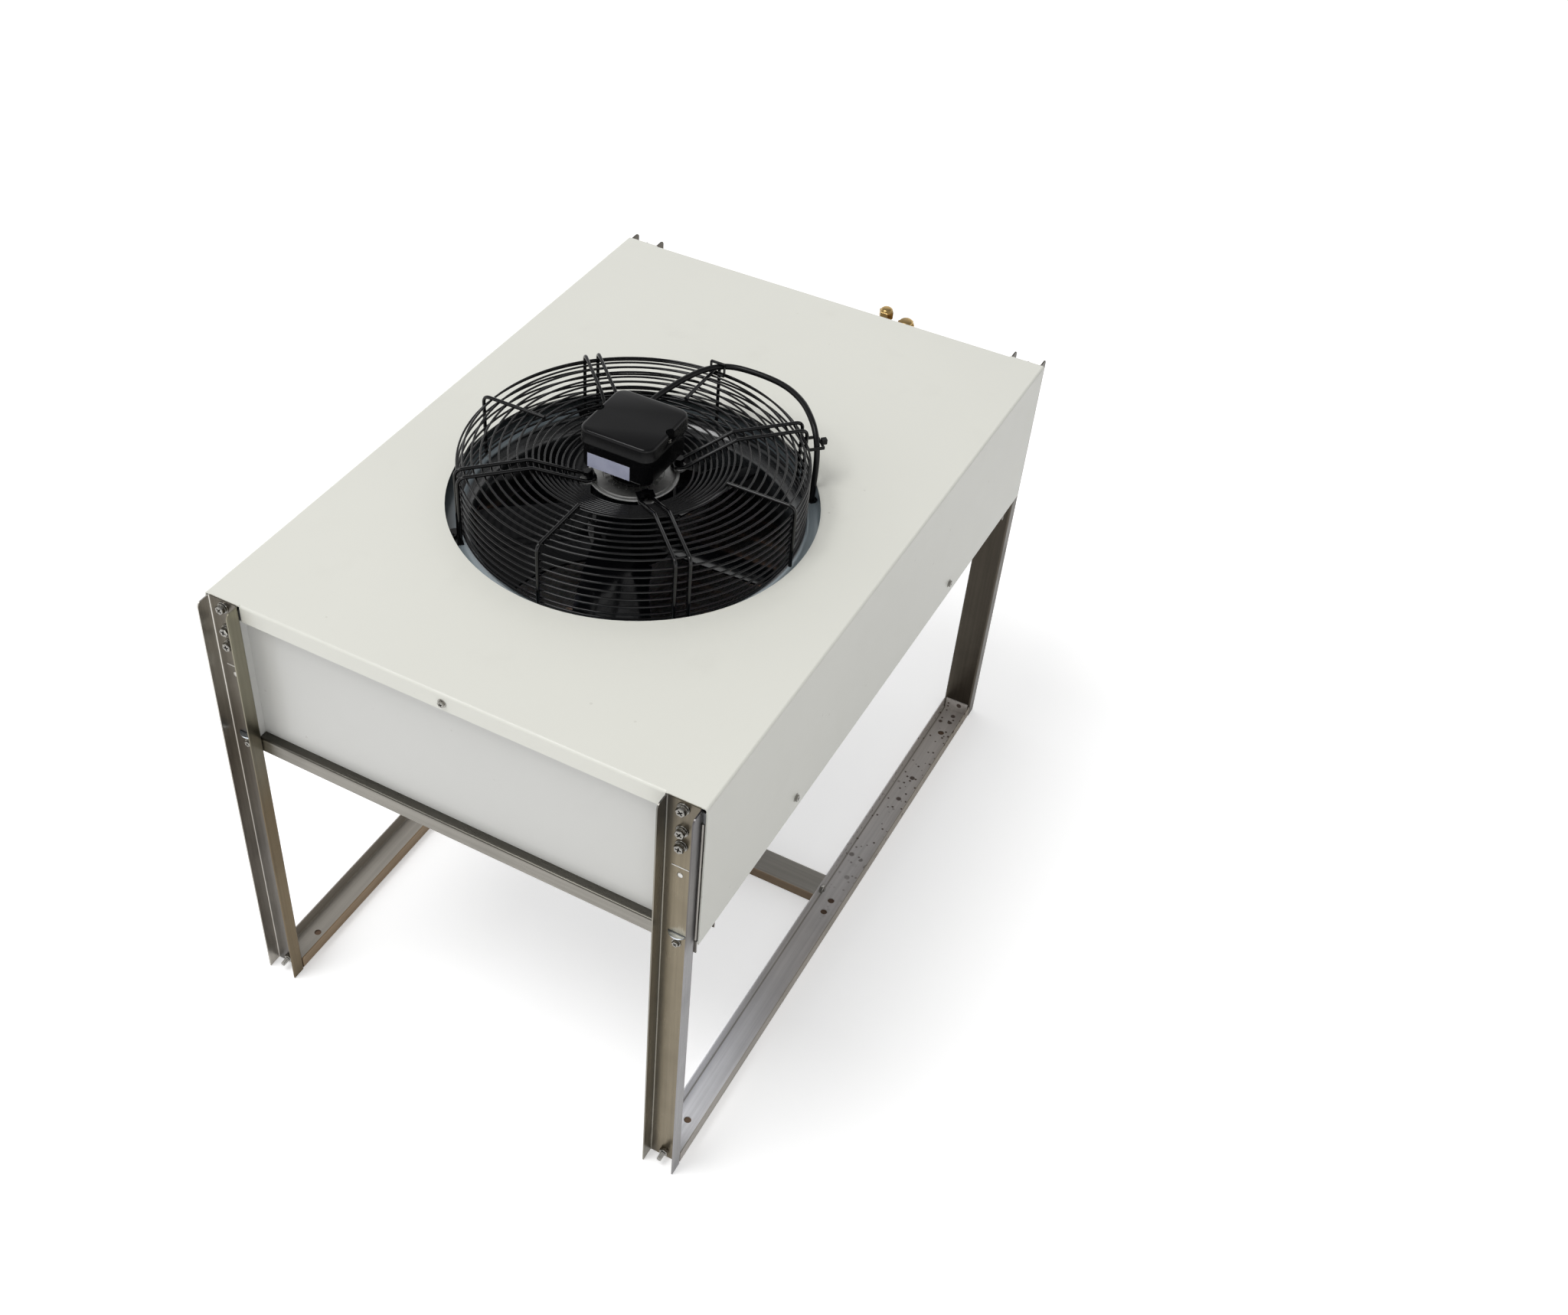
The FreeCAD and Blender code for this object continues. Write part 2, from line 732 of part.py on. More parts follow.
def guard_struts():
    """Four hairpins that carry the motor, and four short bars between them."""
    loop = strut_spacing / 2
    low = stator_cover_top + strut_thickness / 2
    side = eased([vec(guard_radius, loop, foot_top), vec(guard_radius, loop, guard_height),
                  vec(cone_outer_radius, loop, guard_height)], rim_bend, 2)
    side.append(vec(cone_inner_radius, loop, low))
    turn = []
    for angle in (108, 144, 180):
        reach = loop / math.cos(math.radians(18))
        turn.append(vec(lug_reach + reach * math.cos(math.radians(angle)),
                        reach * math.sin(math.radians(angle)), low))
    half = side + turn[:2]
    other = [vec(p.x, -p.y, p.z) for p in half]
    hairpin = bent_bar(half + other[::-1], strut_thickness, 6, vec(-1, 0))
    short = bent_bar(eased([vec(guard_radius, 0, short_strut_bottom), vec(guard_radius, 0, guard_height),
                            vec(short_strut_inner_radius, 0, guard_height)], rim_bend, 2),
                     strut_thickness, 6, vec(-1, 0))
    struts = []
    for quarter in range(4):
        struts.append(on_fan(hairpin, 45 + 90 * quarter))
        struts.append(on_fan(short, 90 * quarter))
    return Part.makeCompound(struts)


def ring(outer_radius, top):
    """A guard ring of square wire with a flat wherever a strut crosses it."""
    thick = vec(0, 0, -ring_wire)
    whole = prism(outer_radius, ring_sides, vec(0, 0, top), thick)
    return on_fan(whole.cut(prism(outer_radius - ring_wire, ring_sides, vec(0, 0, top), thick)))


def guard_wall_rings():
    outer = guard_radius - strut_thickness / 2
    heights = [guard_height - wall_ring_drop - i * wall_ring_pitch for i in range(wall_ring_count)]
    return Part.makeCompound([ring(outer, height + ring_wire / 2)
                              for height in heights + [base_ring_height]])


def guard_top_rings():
    rings = []
    for i in range(top_ring_count):
        radius = top_ring_radius - i * top_ring_pitch
        rings.append(ring(radius + ring_wire / 2, guard_height - strut_thickness / 2))
    slope = (cone_height(cone_outer_radius) - cone_height(cone_inner_radius)) / (
        cone_outer_radius - cone_inner_radius)
    under = strut_thickness / 2 * math.sqrt(1 + slope ** 2)
    for i in range(cone_ring_count):
        radius = cone_ring_radius - i * cone_ring_pitch
        rings.append(ring(radius + ring_wire / 2, cone_height(radius - ring_wire / 2) - under))
    return Part.makeCompound(rings)


def guard_feet():
    inner = guard_radius - strut_thickness / 2
    foot = block((inner, inner + guard_foot_length), (-guard_foot_width / 2, guard_foot_width / 2),
                 (foot_top - guard_foot_sheet, foot_top))
    return Part.makeCompound([on_fan(foot, 45 + 90 * quarter) for quarter in range(4)])


def guard_foot_screws():
    inner = guard_radius - strut_thickness / 2
    screw = headed(vec(inner + guard_foot_screw_reach, 0, foot_top), vec(0, 0, 1),
                   small_screw_across_flats, small_screw_head)
    return Part.makeCompound([on_fan(screw, 45 + 90 * quarter) for quarter in range(4)])


# Motor
def stator_cover():
    """The fixed top of the motor: rim, spigot into the windings, neck under the box and four lugs."""
    under = stator_cover_top - stator_cover_rim
    pieces = [prism(stator_cover_radius, motor_sides, vec(0, 0, under), vec(0, 0, stator_cover_rim)),
              prism(stator_core_radius, stator_core_sides, vec(0, 0, core_top),
                    vec(0, 0, stator_spigot_depth)),
              prism(neck_radius, neck_sides, vec(0, 0, stator_cover_top),
                    vec(0, 0, box_foot - stator_cover_top))]
    for quarter in range(4):
        angle = math.radians(45 + 90 * quarter)
        place = vec(lug_reach * math.cos(angle), lug_reach * math.sin(angle), under)
        pieces.append(prism(lug_radius, 8, place, vec(0, 0, stator_cover_rim)))
    return on_fan(joined(pieces))


def motor_clamp_screws():
    """Each holds a hairpin's loop down on its lug: shank, plate across the wires and head."""
    low = stator_cover_top + strut_thickness
    across = strut_spacing / 2 + strut_thickness / 2
    top = low + clamp_plate_thickness
    shank = prism(foot_bolt_radius, 8, vec(lug_reach, 0, stator_cover_top), vec(0, 0, strut_thickness))
    plate = block((lug_reach - clamp_plate_inward, lug_reach + clamp_plate_outward), (-across, across),
                  (low, top))
    head = headed(vec(lug_reach, 0, top), vec(0, 0, 1), screw_across_flats, screw_head)
    screw = joined([shank, plate, head])
    return Part.makeCompound([on_fan(screw, 45 + 90 * quarter) for quarter in range(4)])


def stator_core():
    """The wound core that hangs from the cover's spigot, bored for the shaft."""
    core = prism(stator_core_radius, stator_core_sides, vec(0, 0, core_top),
                 vec(0, 0, -stator_core_length))
    bore = rod(shaft_radius + shaft_running_fit, vec(0, 0, core_top + tool_spare),
               vec(0, 0, -stator_core_length - 2 * tool_spare))
    return on_fan(core.cut(bore))


def rotor_can():
    """The turning outer bell of the motor, open at the top, with a boss for the shaft."""
    floor = rotor_floor + rotor_wall
    outer = prism(rotor_radius, motor_sides, vec(0, 0, rotor_floor), vec(0, 0, rotor_height))
    hollow = prism(rotor_radius - rotor_wall, stator_core_sides, vec(0, 0, floor), vec(0, 0, rotor_height))
    boss = prism(rotor_boss_radius, 8, vec(0, 0, floor), vec(0, 0, rotor_boss_height))
    bore = rod(shaft_radius, vec(0, 0, rotor_floor - tool_spare), vec(0, 0, rotor_height))
    return on_fan(joined([outer.cut(hollow), boss]).cut(bore))


def rotor_shaft():
    return on_fan(rod(shaft_radius, vec(0, 0, rotor_floor),
                      vec(0, 0, core_top - shaft_end_gap - rotor_floor)))


# Impeller
def fan_blade():
    """A blade of sheet rolled about the radial line, set at its angle and cut to its outline."""
    tip_radius = throat_radius - blade_tip_gap
    middle = hub_bottom + hub_height / 2
    reach = blade_tip_width
    outer = blade_camber_radius
    inner = outer - blade_thickness
    shell = rod(outer, vec(0, 0, middle - outer), vec(2 * tip_radius, 0))
    shell = shell.cut(rod(inner, vec(0, 0, middle - outer), vec(2 * tip_radius, 0)))
    shell = shell.common(block((0, 2 * tip_radius), (-reach, reach), (middle - outer / 2, middle + outer)))
    shell.rotate(vec(0, 0, middle), vec(1, 0, 0), -blade_angle)
    root = rotor_radius - hub_wall
    lead = blade_lead
    half_root = blade_root_width / 2
    half_tip = blade_tip_width / 2
    half_way = (root + tip_radius) / 2
    blank = tip_radius * blade_blank_share
    edges = [Part.Arc(vec(root, half_root), vec(half_way, half_root + lead / 3),
                      vec(blank, half_tip + lead)).toShape(),
             Part.LineSegment(vec(blank, half_tip + lead), vec(blank, lead - half_tip)).toShape(),
             Part.Arc(vec(blank, lead - half_tip), vec(half_way, -half_root),
                      vec(root, -half_root)).toShape(),
             Part.LineSegment(vec(root, -half_root), vec(root, half_root)).toShape()]
    plan = Part.Face(Part.Wire(edges))
    plan.translate(vec(0, 0, middle - outer))
    shell = shell.common(plan.extrude(vec(0, 0, 2 * outer)))
    return shell.common(rod(tip_radius, vec(0, 0, middle - outer), vec(0, 0, 2 * outer)))


def fan_impeller():
    """A hub ring pressed on the rotor, with the blades joined to it."""
    hub = prism(hub_radius, motor_sides, vec(0, 0, hub_bottom), vec(0, 0, hub_height))
    blade = fan_blade()
    blades = [turned(blade, i * 360 / blade_count) for i in range(blade_count)]
    bore = prism(rotor_radius, motor_sides, vec(0, 0, hub_bottom - hub_height), vec(0, 0, 3 * hub_height))
    return on_fan(joined([hub] + blades).cut(bore))


# Terminal box
def terminal_box():
    half = box_half_width - box_step
    return on_fan(rounded_block(half, half, box_corner - box_step, box_foot, box_lid_foot))


def terminal_box_lid():
    """Overlaps the box all round; a notch in the middle of two sides holds its screws."""
    lid = rounded_block(box_half_width, box_half_width, box_corner, box_lid_foot, box_top)
    for side in (-1, 1):
        centre = vec(side * box_half_width, 0, box_lid_foot + lid_notch_floor)
        lid = lid.cut(prism(lid_notch_radius, 8, centre, vec(0, 0, box_top)))
    return on_fan(lid)


def lid_screws():
    screws = []
    for side in (-1, 1):
        place = vec(side * (box_half_width - lid_notch_radius / 2), 0, box_lid_foot + lid_notch_floor)
        screws.append(on_fan(headed(place, vec(0, 0, 1), lid_screw_across_flats, lid_screw_height)))
    return Part.makeCompound(screws)


def cable_gland():
    """Hexagon and dome on the back of the box; the cable leaves through its mouth."""
    wall = gland_mouth - gland_length
    nut = prism(gland_nut_across_flats / 2, 6, vec(cable_exit_x, wall, cable_exit_height),
                vec(0, gland_nut_length))
    dome = prism(gland_radius, 10, vec(cable_exit_x, wall + gland_nut_length, cable_exit_height),
                 vec(0, gland_length - gland_nut_length))
    return on_fan(joined([nut, dome]))


# Motor cable
def motor_cable():
    """Held all along its way: by the gland, the two ties, the guard's rim and the grommet."""
    route = [vec(cable_exit_x, gland_mouth, cable_exit_height)] + [vec(*point) for point in cable_points]
    eased_route = [route[0]]
    for before, point, after in zip(route, route[1:], route[2:]):
        run = min((point - before).Length, (after - point).Length) * cable_corner_share
        eased_route.append(point + (before - point).normalize() * run)
        eased_route.append(point + (after - point).normalize() * run)
    return on_fan(bent_bar(eased_route + [route[-1]], 2 * cable_radius, cable_sides, vec(0, 0, 1)))


def cable_grommet():
    """Sits in the shroud's flange around the cable, with a lip above and below."""
    x, y = cable_points[-1][:2]
    top = shroud_sheet - deck_drop
    under = top - shroud_sheet
    lip = grommet_radius + grommet_lip

    def layer(radius, low, high):
        return prism(radius, grommet_sides, vec(x, y, low), vec(0, 0, high - low))

    low = under - grommet_lip_height
    high = top + grommet_lip_height
    whole = joined([layer(lip, low, under), layer(grommet_radius, under, top), layer(lip, top, high)])
    return on_fan(whole.cut(layer(cable_radius + cable_clearance, low - tool_spare, high + tool_spare)))


def band(x, y, z, axis):
    """A cable tie's loop: a flat strap around the block x, y, z, closed about one axis."""
    inner = [x, y, z]
    outer = [pair if i == axis else (pair[0] - tie_thickness, pair[1] + tie_thickness)
             for i, pair in enumerate(inner)]
    return block(*outer).cut(block(*inner))


def cable_ties():
    """One strap over the strut behind the box, one with its head outward where the cable turns down."""
    rear = band(rear_tie_x, (rear_tie_y, rear_tie_y + tie_width), rear_tie_z, 1)
    side = band(side_tie_out, side_tie_across, (side_tie_z, side_tie_z + tie_width), 2)
    out = side_tie_out[1] + tie_thickness
    middle = sum(side_tie_across) / 2
    head = block((out, out + tie_head), (middle - tie_head / 2, middle + tie_head / 2),
                 (side_tie_z, side_tie_z + tie_head))
    return Part.makeCompound([on_fan(rear), on_fan(joined([side, head]), 45)])


# Service valves
def service_valve(x, body_radius, flare_radius, cap_top):
    """An upright brass valve: foot, barrel, inlet toward the case and flare outlet away from it."""
    top = cap_top - cap_height
    foot = prism(body_radius + valve_foot, 6, vec(x, valve_y, valve_bottom), vec(0, 0, valve_foot))
    barrel = prism(body_radius, valve_sides, vec(x, valve_y, valve_bottom), vec(0, 0, top - valve_bottom))
    middle = vec(x, valve_y, flare_height)
    inlet = prism(body_radius - inlet_step, valve_sides, middle, vec(0, -body_radius - inlet_length))
    outlet = rod(flare_radius, middle, vec(0, body_radius + flare_length))
    collar = prism(flare_radius + collar_rise, 6, middle, vec(0, body_radius + collar_length))
    return joined([foot, barrel, inlet, outlet, collar])


def liquid_valve():
    return service_valve(liquid_valve_x, liquid_body_radius, liquid_flare_radius, liquid_cap_top)


def gas_valve():
    return service_valve(gas_valve_x, gas_body_radius, gas_flare_radius, gas_cap_top)


def valve_caps():
    caps = []
    for x, top, across in ((liquid_valve_x, liquid_cap_top, liquid_cap_across_flats),
                           (gas_valve_x, gas_cap_top, gas_cap_across_flats)):
        foot = vec(x, valve_y, top - cap_height)
        shoulder = foot + vec(0, 0, cap_height - cap_dome)
        caps.append(joined([prism(across / 2, 6, foot, vec(0, 0, cap_height - cap_dome)),
                            prism(across / 2 - cap_dome / 2, 8, shoulder, vec(0, 0, cap_dome))]))
    return Part.makeCompound(caps)


def valve_bracket():
    """An angle on the rear panel; the valves stand on its shelf."""
    end = valve_y + gas_body_radius + valve_foot
    left = liquid_valve_x - liquid_body_radius - bracket_margin
    right = gas_valve_x + gas_body_radius + bracket_margin
    return folded_sheet([vec(left, end, valve_bottom), vec(left, panel_y, valve_bottom),
                         vec(left, panel_y, valve_bottom - bracket_drop)],
                        bracket_sheet, bracket_sheet, (right - left, 0, 0))


def liquid_pipe():
    return coil_pipe(0, liquid_pipe_radius, liquid_valve_x, liquid_body_radius)


def gas_pipe():
    return coil_pipe(1, gas_pipe_radius, gas_valve_x, gas_body_radius)


# Screws
def small_screw(place, out):
    return headed(place, out, small_screw_across_flats, small_screw_head)


def leg_screws():
    """Three on each leg into the side plate and the deck."""
    screws = []
    for x in (-leg_x, leg_x):
        for drop in leg_screw_drops:
            place = vec(x, -leg_face, case_top - drop)
            screws.append(headed(place, vec(0, -1), screw_across_flats, screw_head))
    return Part.makeCompound(screws + [half_turned(screw) for screw in screws])


def rail_screws():
    """One on each leg into the flange of the front or rear rail."""
    screws = [small_screw(vec(x, -leg_face, rail_top - rail_screw_drop), vec(0, -1)) for x in (-leg_x, leg_x)]
    return Part.makeCompound(screws + [half_turned(screw) for screw in screws])


def foot_bolts():
    """The nut and the shank of the bolt that joins each leg to the tab of its floor rail."""
    bolts = []
    for x in (-leg_x, leg_x):
        place = vec(x, -leg_face, foot_bolt_height)
        bolts.append(joined([prism(nut_across_flats / 2, 6, place, vec(0, -nut_height)),
                             prism(foot_bolt_radius, 8, place, vec(0, -foot_bolt_length))]))
    return Part.makeCompound(bolts + [half_turned(bolt) for bolt in bolts])


def beam_nuts():
    """On the inner flange of each floor rail, over the tab of the cross beam."""
    nuts = []
    for side in (-1, 1):
        place = vec(side * (leg_x - channel_width / 2 + channel_sheet), cross_beam_back,
                    channel_depth + cross_beam_rise - cross_beam_height / 2)
        nuts.append(prism(nut_across_flats / 2, 6, place, vec(side * nut_height, 0)))
    return Part.makeCompound(nuts)


def cover_screws():
    """One in the middle of each lip and two in each skirt."""
    screws = [small_screw(vec(0, -half_depth, case_top - lip_screw_drop), vec(0, -1))]
    screws.append(half_turned(screws[0]))
    for side in (-1, 1):
        for y in (-skirt_screw_front, skirt_screw_back):
            place = vec(side * half_width, y, skirt_bottom + skirt_screw_rise)
            screws.append(small_screw(place, vec(side, 0)))
    return Part.makeCompound(screws)


front_leg = leg()
panel = front_panel()
rail = front_rail()
plate = side_plate()
low_rail = floor_rail()
PARTS = {
    "cover": cover(), "cover_screws": cover_screws(), "fan_deck": fan_deck(),
    "front_panel": panel, "rear_panel": rear_panel(),
    "side_plate_right": plate, "side_plate_left": mirrored_x(plate),
    "leg_front_right": front_leg, "leg_front_left": mirrored_x(front_leg),
    "leg_rear_left": half_turned(front_leg), "leg_rear_right": mirrored_x(half_turned(front_leg)),
    "front_rail": rail, "rear_rail": half_turned(rail),
    "floor_rail_right": low_rail, "floor_rail_left": mirrored_x(low_rail),
    "floor_cross_beam": floor_cross_beam(), "leg_screws": leg_screws(), "rail_screws": rail_screws(),
    "foot_bolts": foot_bolts(), "beam_nuts": beam_nuts(),
    "coil_fins": coil_fins(), "tube_sheet_right": tube_sheet_right(), "tube_sheet_left": tube_sheet_left(),
    "return_bends_right": return_bends_right(), "return_bends_left": return_bends_left(),
    "liquid_pipe": liquid_pipe(), "gas_pipe": gas_pipe(), "liquid_valve": liquid_valve(),
    "gas_valve": gas_valve(), "valve_caps": valve_caps(), "valve_bracket": valve_bracket(),
    "fan_shroud": fan_shroud(), "guard_struts": guard_struts(), "guard_wall_rings": guard_wall_rings(),
    "guard_top_rings": guard_top_rings(), "guard_feet": guard_feet(),
    "guard_foot_screws": guard_foot_screws(), "motor_clamp_screws": motor_clamp_screws(),
    "stator_cover": stator_cover(), "stator_core": stator_core(), "rotor_can": rotor_can(),
    "rotor_shaft": rotor_shaft(), "fan_impeller": fan_impeller(),
    "terminal_box": terminal_box(), "terminal_box_lid": terminal_box_lid(), "lid_screws": lid_screws(),
    "cable_gland": cable_gland(), "motor_cable": motor_cable(), "cable_ties": cable_ties(),
    "cable_grommet": cable_grommet()}

os.makedirs("parts", exist_ok=True)
for name, shape in PARTS.items():
    shape.exportStep(f"parts/{name}.step")
    print(name, shape.isValid(), len(shape.Solids), round(shape.Volume))
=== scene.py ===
import math

import bmesh
import bpy
from mathutils import Matrix, Vector


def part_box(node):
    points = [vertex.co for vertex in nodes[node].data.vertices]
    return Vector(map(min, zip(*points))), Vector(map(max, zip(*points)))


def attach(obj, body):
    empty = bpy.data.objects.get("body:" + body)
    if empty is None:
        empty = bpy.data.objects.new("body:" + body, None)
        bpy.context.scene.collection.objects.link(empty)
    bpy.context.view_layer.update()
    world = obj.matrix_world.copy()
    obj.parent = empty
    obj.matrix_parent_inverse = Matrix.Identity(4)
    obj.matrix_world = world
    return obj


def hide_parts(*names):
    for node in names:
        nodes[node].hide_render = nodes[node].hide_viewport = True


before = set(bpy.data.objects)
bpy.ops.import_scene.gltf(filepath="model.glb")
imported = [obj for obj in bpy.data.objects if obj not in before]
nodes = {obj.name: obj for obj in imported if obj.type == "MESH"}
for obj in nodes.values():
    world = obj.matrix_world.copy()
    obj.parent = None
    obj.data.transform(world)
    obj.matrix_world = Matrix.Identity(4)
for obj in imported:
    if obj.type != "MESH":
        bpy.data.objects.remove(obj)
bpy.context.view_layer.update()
MM = 0.001


# Painted cover: one sheet folded down at both sides, with short lips between the legs.
# Warm white powder coat with a fine orange peel, a little handling dirt and dust.
class Value:
    """A socket of one finish. Sums on it add that finish's Math nodes."""

    def __init__(self, finish, socket):
        self.finish = finish
        self.socket = socket

    def sum_of(self, operation, *values):
        return self.finish.add("ShaderNodeMath", {"operation": operation}, dict(enumerate(values)))

    def __add__(self, other):
        return self.sum_of("ADD", self, other)

    def __radd__(self, other):
        return self.sum_of("ADD", other, self)

    def __sub__(self, other):
        return self.sum_of("SUBTRACT", self, other)

    def __rsub__(self, other):
        return self.sum_of("SUBTRACT", other, self)

    def __mul__(self, other):
        return self.sum_of("MULTIPLY", self, other)

    def __rmul__(self, other):
        return self.sum_of("MULTIPLY", other, self)

    def between(self, low, high):
        """0 below low, 1 above high, and a soft step from one to the other."""
        return self.finish.add("ShaderNodeMapRange", {"interpolation_type": "SMOOTHSTEP"},
                               {0: self, 1: low, 2: high})


class Finish:
    """One material: a surface shader and what feeds it."""

    def __init__(self, name):
        self.material = bpy.data.materials.new(name)
        self.material.use_nodes = True
        self.tree = self.material.node_tree
        self.surface = self.tree.nodes["Principled BSDF"]
        self.place = self.add("ShaderNodeTexCoord", {}, {}, "Object")

    def add(self, kind, settings, sockets, out=0):
        node = self.tree.nodes.new(kind)
        for name, value in settings.items():
            setattr(node, name, value)
        self.feed(node, sockets)
        return Value(self, node.outputs[out])

    def feed(self, node, sockets):
        for name, value in sockets.items():
            if isinstance(value, Value):
                self.tree.links.new(value.socket, node.inputs[name])
            else:
                node.inputs[name].default_value = value

    def wear(self, **sockets):
        self.feed(self.surface, {name.replace("_", " ").title(): value for name, value in sockets.items()})
        return self

    def cloud(self, scale, detail=3.0, stretch=(1, 1, 1)):
        """Soft noise with scale waves a metre, drawn out along the axes where stretch is small."""
        place = self.add("ShaderNodeVectorMath", {"operation": "MULTIPLY"}, {0: self.place, 1: stretch})
        return self.add("ShaderNodeTexNoise", {}, {"Vector": place, "Scale": scale, "Detail": detail})

    def specks(self, scale, size, share):
        """Round spots, size of a cell wide, in about share of the cells."""
        sockets = {"Vector": self.place, "Scale": scale}
        near = self.add("ShaderNodeTexVoronoi", {"feature": "F1"}, sockets, "Distance")
        cell = self.add("ShaderNodeTexVoronoi", {"feature": "F1"}, sockets, "Color")
        pick = self.add("ShaderNodeSeparateColor", {}, {0: cell})
        return (1 - near.between(size * 0.6, size)) * pick.between(1 - share, 1 - share + 0.01)

    def along(self, axis):
        """The place on one axis of the object, in metres."""
        return self.add("ShaderNodeSeparateXYZ", {}, {0: self.place}, axis)

    def tint(self, share, first, second, blend="MIX"):
        """first where share is 0, second where it is 1."""
        ends = [value if isinstance(value, Value) else (*value, 1) for value in (first, second)]
        settings = {"data_type": "RGBA", "blend_type": blend}
        return self.add("ShaderNodeMix", settings, {0: share, 6: ends[0], 7: ends[1]}, 2)

    def relief(self, height, depth, over=None):
        """A bump depth metres deep where height goes from 0 to 1."""
        sockets = {"Height": height, "Distance": depth, "Strength": 1.0}
        if over is not None:
            sockets["Normal"] = over
        return self.add("ShaderNodeBump", {}, sockets)


def dress(finish, *names):
    for name in names:
        nodes[name].data.materials.clear()
        nodes[name].data.materials.append(finish.material)


def powder_coat(name, color, dirt):
    coat = Finish(name)
    patches = coat.cloud(2.5, 4.0).between(0.35, 0.75)
    grime = coat.cloud(14.0, 6.0).between(0.6, 0.85) * 0.1 + coat.specks(60.0, 0.12, 0.025) * 0.3
    clean = coat.tint(patches, color, [c * 0.97 for c in color])
    peel = coat.relief(coat.cloud(420.0, 2.0), 0.00006)
    fine = coat.relief(coat.cloud(2400.0, 2.0), 0.000015, peel)
    coat.wear(base_color=coat.tint(grime, clean, dirt), roughness=0.34 + coat.cloud(30.0) * 0.16,
              normal=fine, coat_weight=0.15 + coat.cloud(8.0) * 0.1)
    return coat


cover_white = powder_coat("cover_white", (0.80, 0.80, 0.735), (0.52, 0.50, 0.44))
dress(cover_white, "cover")

# Front and rear panels: thinner sheet between the legs, set back from the edge of the cover, in a
# cooler, plainer white coat of the same kind.
panel_white = powder_coat("panel_white", (0.69, 0.69, 0.665), (0.44, 0.42, 0.39))
dress(panel_white, "front_panel", "rear_panel")


# Screws of the cover: small plated hexagon heads with a pressed-on washer, one in the middle of
# each lip and two in each skirt.
def loop(turn, radius, level, sides, start=0.0):
    """A ring of points about the local Z axis of the matrix turn."""
    ring = []
    for i in range(sides):
        angle = start + 2 * math.pi * i / sides
        ring.append(turn @ Vector((radius * math.cos(angle), radius * math.sin(angle), level)))
    return ring


def skin(name, stacks, sharp=32):
    """A mesh from stacks of rings, each ring joined to the next, with the ends closed.
    A stack whose last ring is its first one is a closed band."""
    points = []
    faces = []
    for rings in stacks:
        start = len(points)
        count = len(rings[0])
        band = rings[0] == rings[-1]
        kept = rings[:-1] if band else rings
        for ring in kept:
            points.extend(ring)
        rows = len(kept) if band else len(kept) - 1
        for row in range(rows):
            low = start + row * count
            high = start + (row + 1) % len(kept) * count
            for i in range(count):
                after = (i + 1) % count
                faces.append((low + i, low + after, high + after, high + i))
        if not band:
            faces.append(tuple(range(start + count - 1, start - 1, -1)))
            faces.append(tuple(range(start + (len(kept) - 1) * count, start + len(kept) * count)))
    mesh = bpy.data.meshes.new(name)
    mesh.from_pydata(points, [], faces)
    return settled(mesh, sharp)


def settled(mesh, sharp=32):
    """Turns all faces outward and shades smooth, except along edges sharper than sharp degrees."""
    work = bmesh.new()
    work.from_mesh(mesh)
    bmesh.ops.recalc_face_normals(work, faces=work.faces)
    work.to_mesh(mesh)
    work.free()
    mesh.shade_smooth()
    mesh.set_sharp_from_angle(angle=math.radians(sharp))
    return mesh


def fitted(mesh, body, finish, slot, *stands_for):
    """Puts a finished mesh into the scene on its body, in place of the CAD nodes named."""
    piece = bpy.data.objects.new(mesh.name, mesh)
    bpy.context.scene.collection.objects.link(piece)
    mesh.materials.append(finish.material)
    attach(piece, body)
    if stands_for:
        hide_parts(*stands_for)
    return piece


def facing(place, out):
    """The matrix that stands local Z on place, pointing along out."""
    return Matrix.Translation(place) @ Vector(out).to_track_quat("Z", "X").to_matrix().to_4x4()


def polar_ring(at, places, size, level, turn):
    """A ring through (radius, degrees) places about the local Z axis of the matrix at."""
    ring = []
    for radius, degrees in places:
        angle = math.radians(degrees) + turn
        ring.append(at @ Vector((radius * size * math.cos(angle), radius * size * math.sin(angle), level)))
    return ring


def hexagon_screw(place, out, across, height, washer, turn=0.0, spring=0.0):
    """A hexagon head with a cross recess, on a washer and, where spring is its thickness in
    millimetres, a spring washer."""
    at = facing(Vector(place) * MM, out)
    corner = across / math.sqrt(3) * MM
    thick = 0.2 * height * MM
    rim = washer * MM
    foot = thick + spring * MM
    top = height * MM
    hexagon = [(1 if i % 2 == 0 else math.cos(math.pi / 6), 15 + 30 * i) for i in range(12)]
    cross = [point for i in range(4)
             for point in ((0.6, 90 * i + 14), (0.2, 90 * i + 45), (0.6, 90 * i + 76))]
    disc = [loop(at, rim, 0, 28), loop(at, rim, thick * 0.7, 28), loop(at, rim * 0.95, thick, 28),
            loop(at, corner, thick * 1.1, 28)]
    head = [polar_ring(at, hexagon, corner * 0.94, foot, turn),
            polar_ring(at, hexagon, corner, foot * 1.15, turn),
            polar_ring(at, hexagon, corner, top * 0.9, turn),
            polar_ring(at, hexagon, corner * 0.88, top, turn),
            polar_ring(at, cross, corner, top, turn),
            polar_ring(at, cross, corner * 0.7, foot, turn)]
    if spring:
        split = [loop(at, corner * share, thick * 1.2 + spring * level * MM, 28)
                 for share, level in ((0.96, 0), (1.04, 0.15), (1.04, 0.75), (0.96, 0.85))]
        return [disc, split, head]
    return [disc, head]


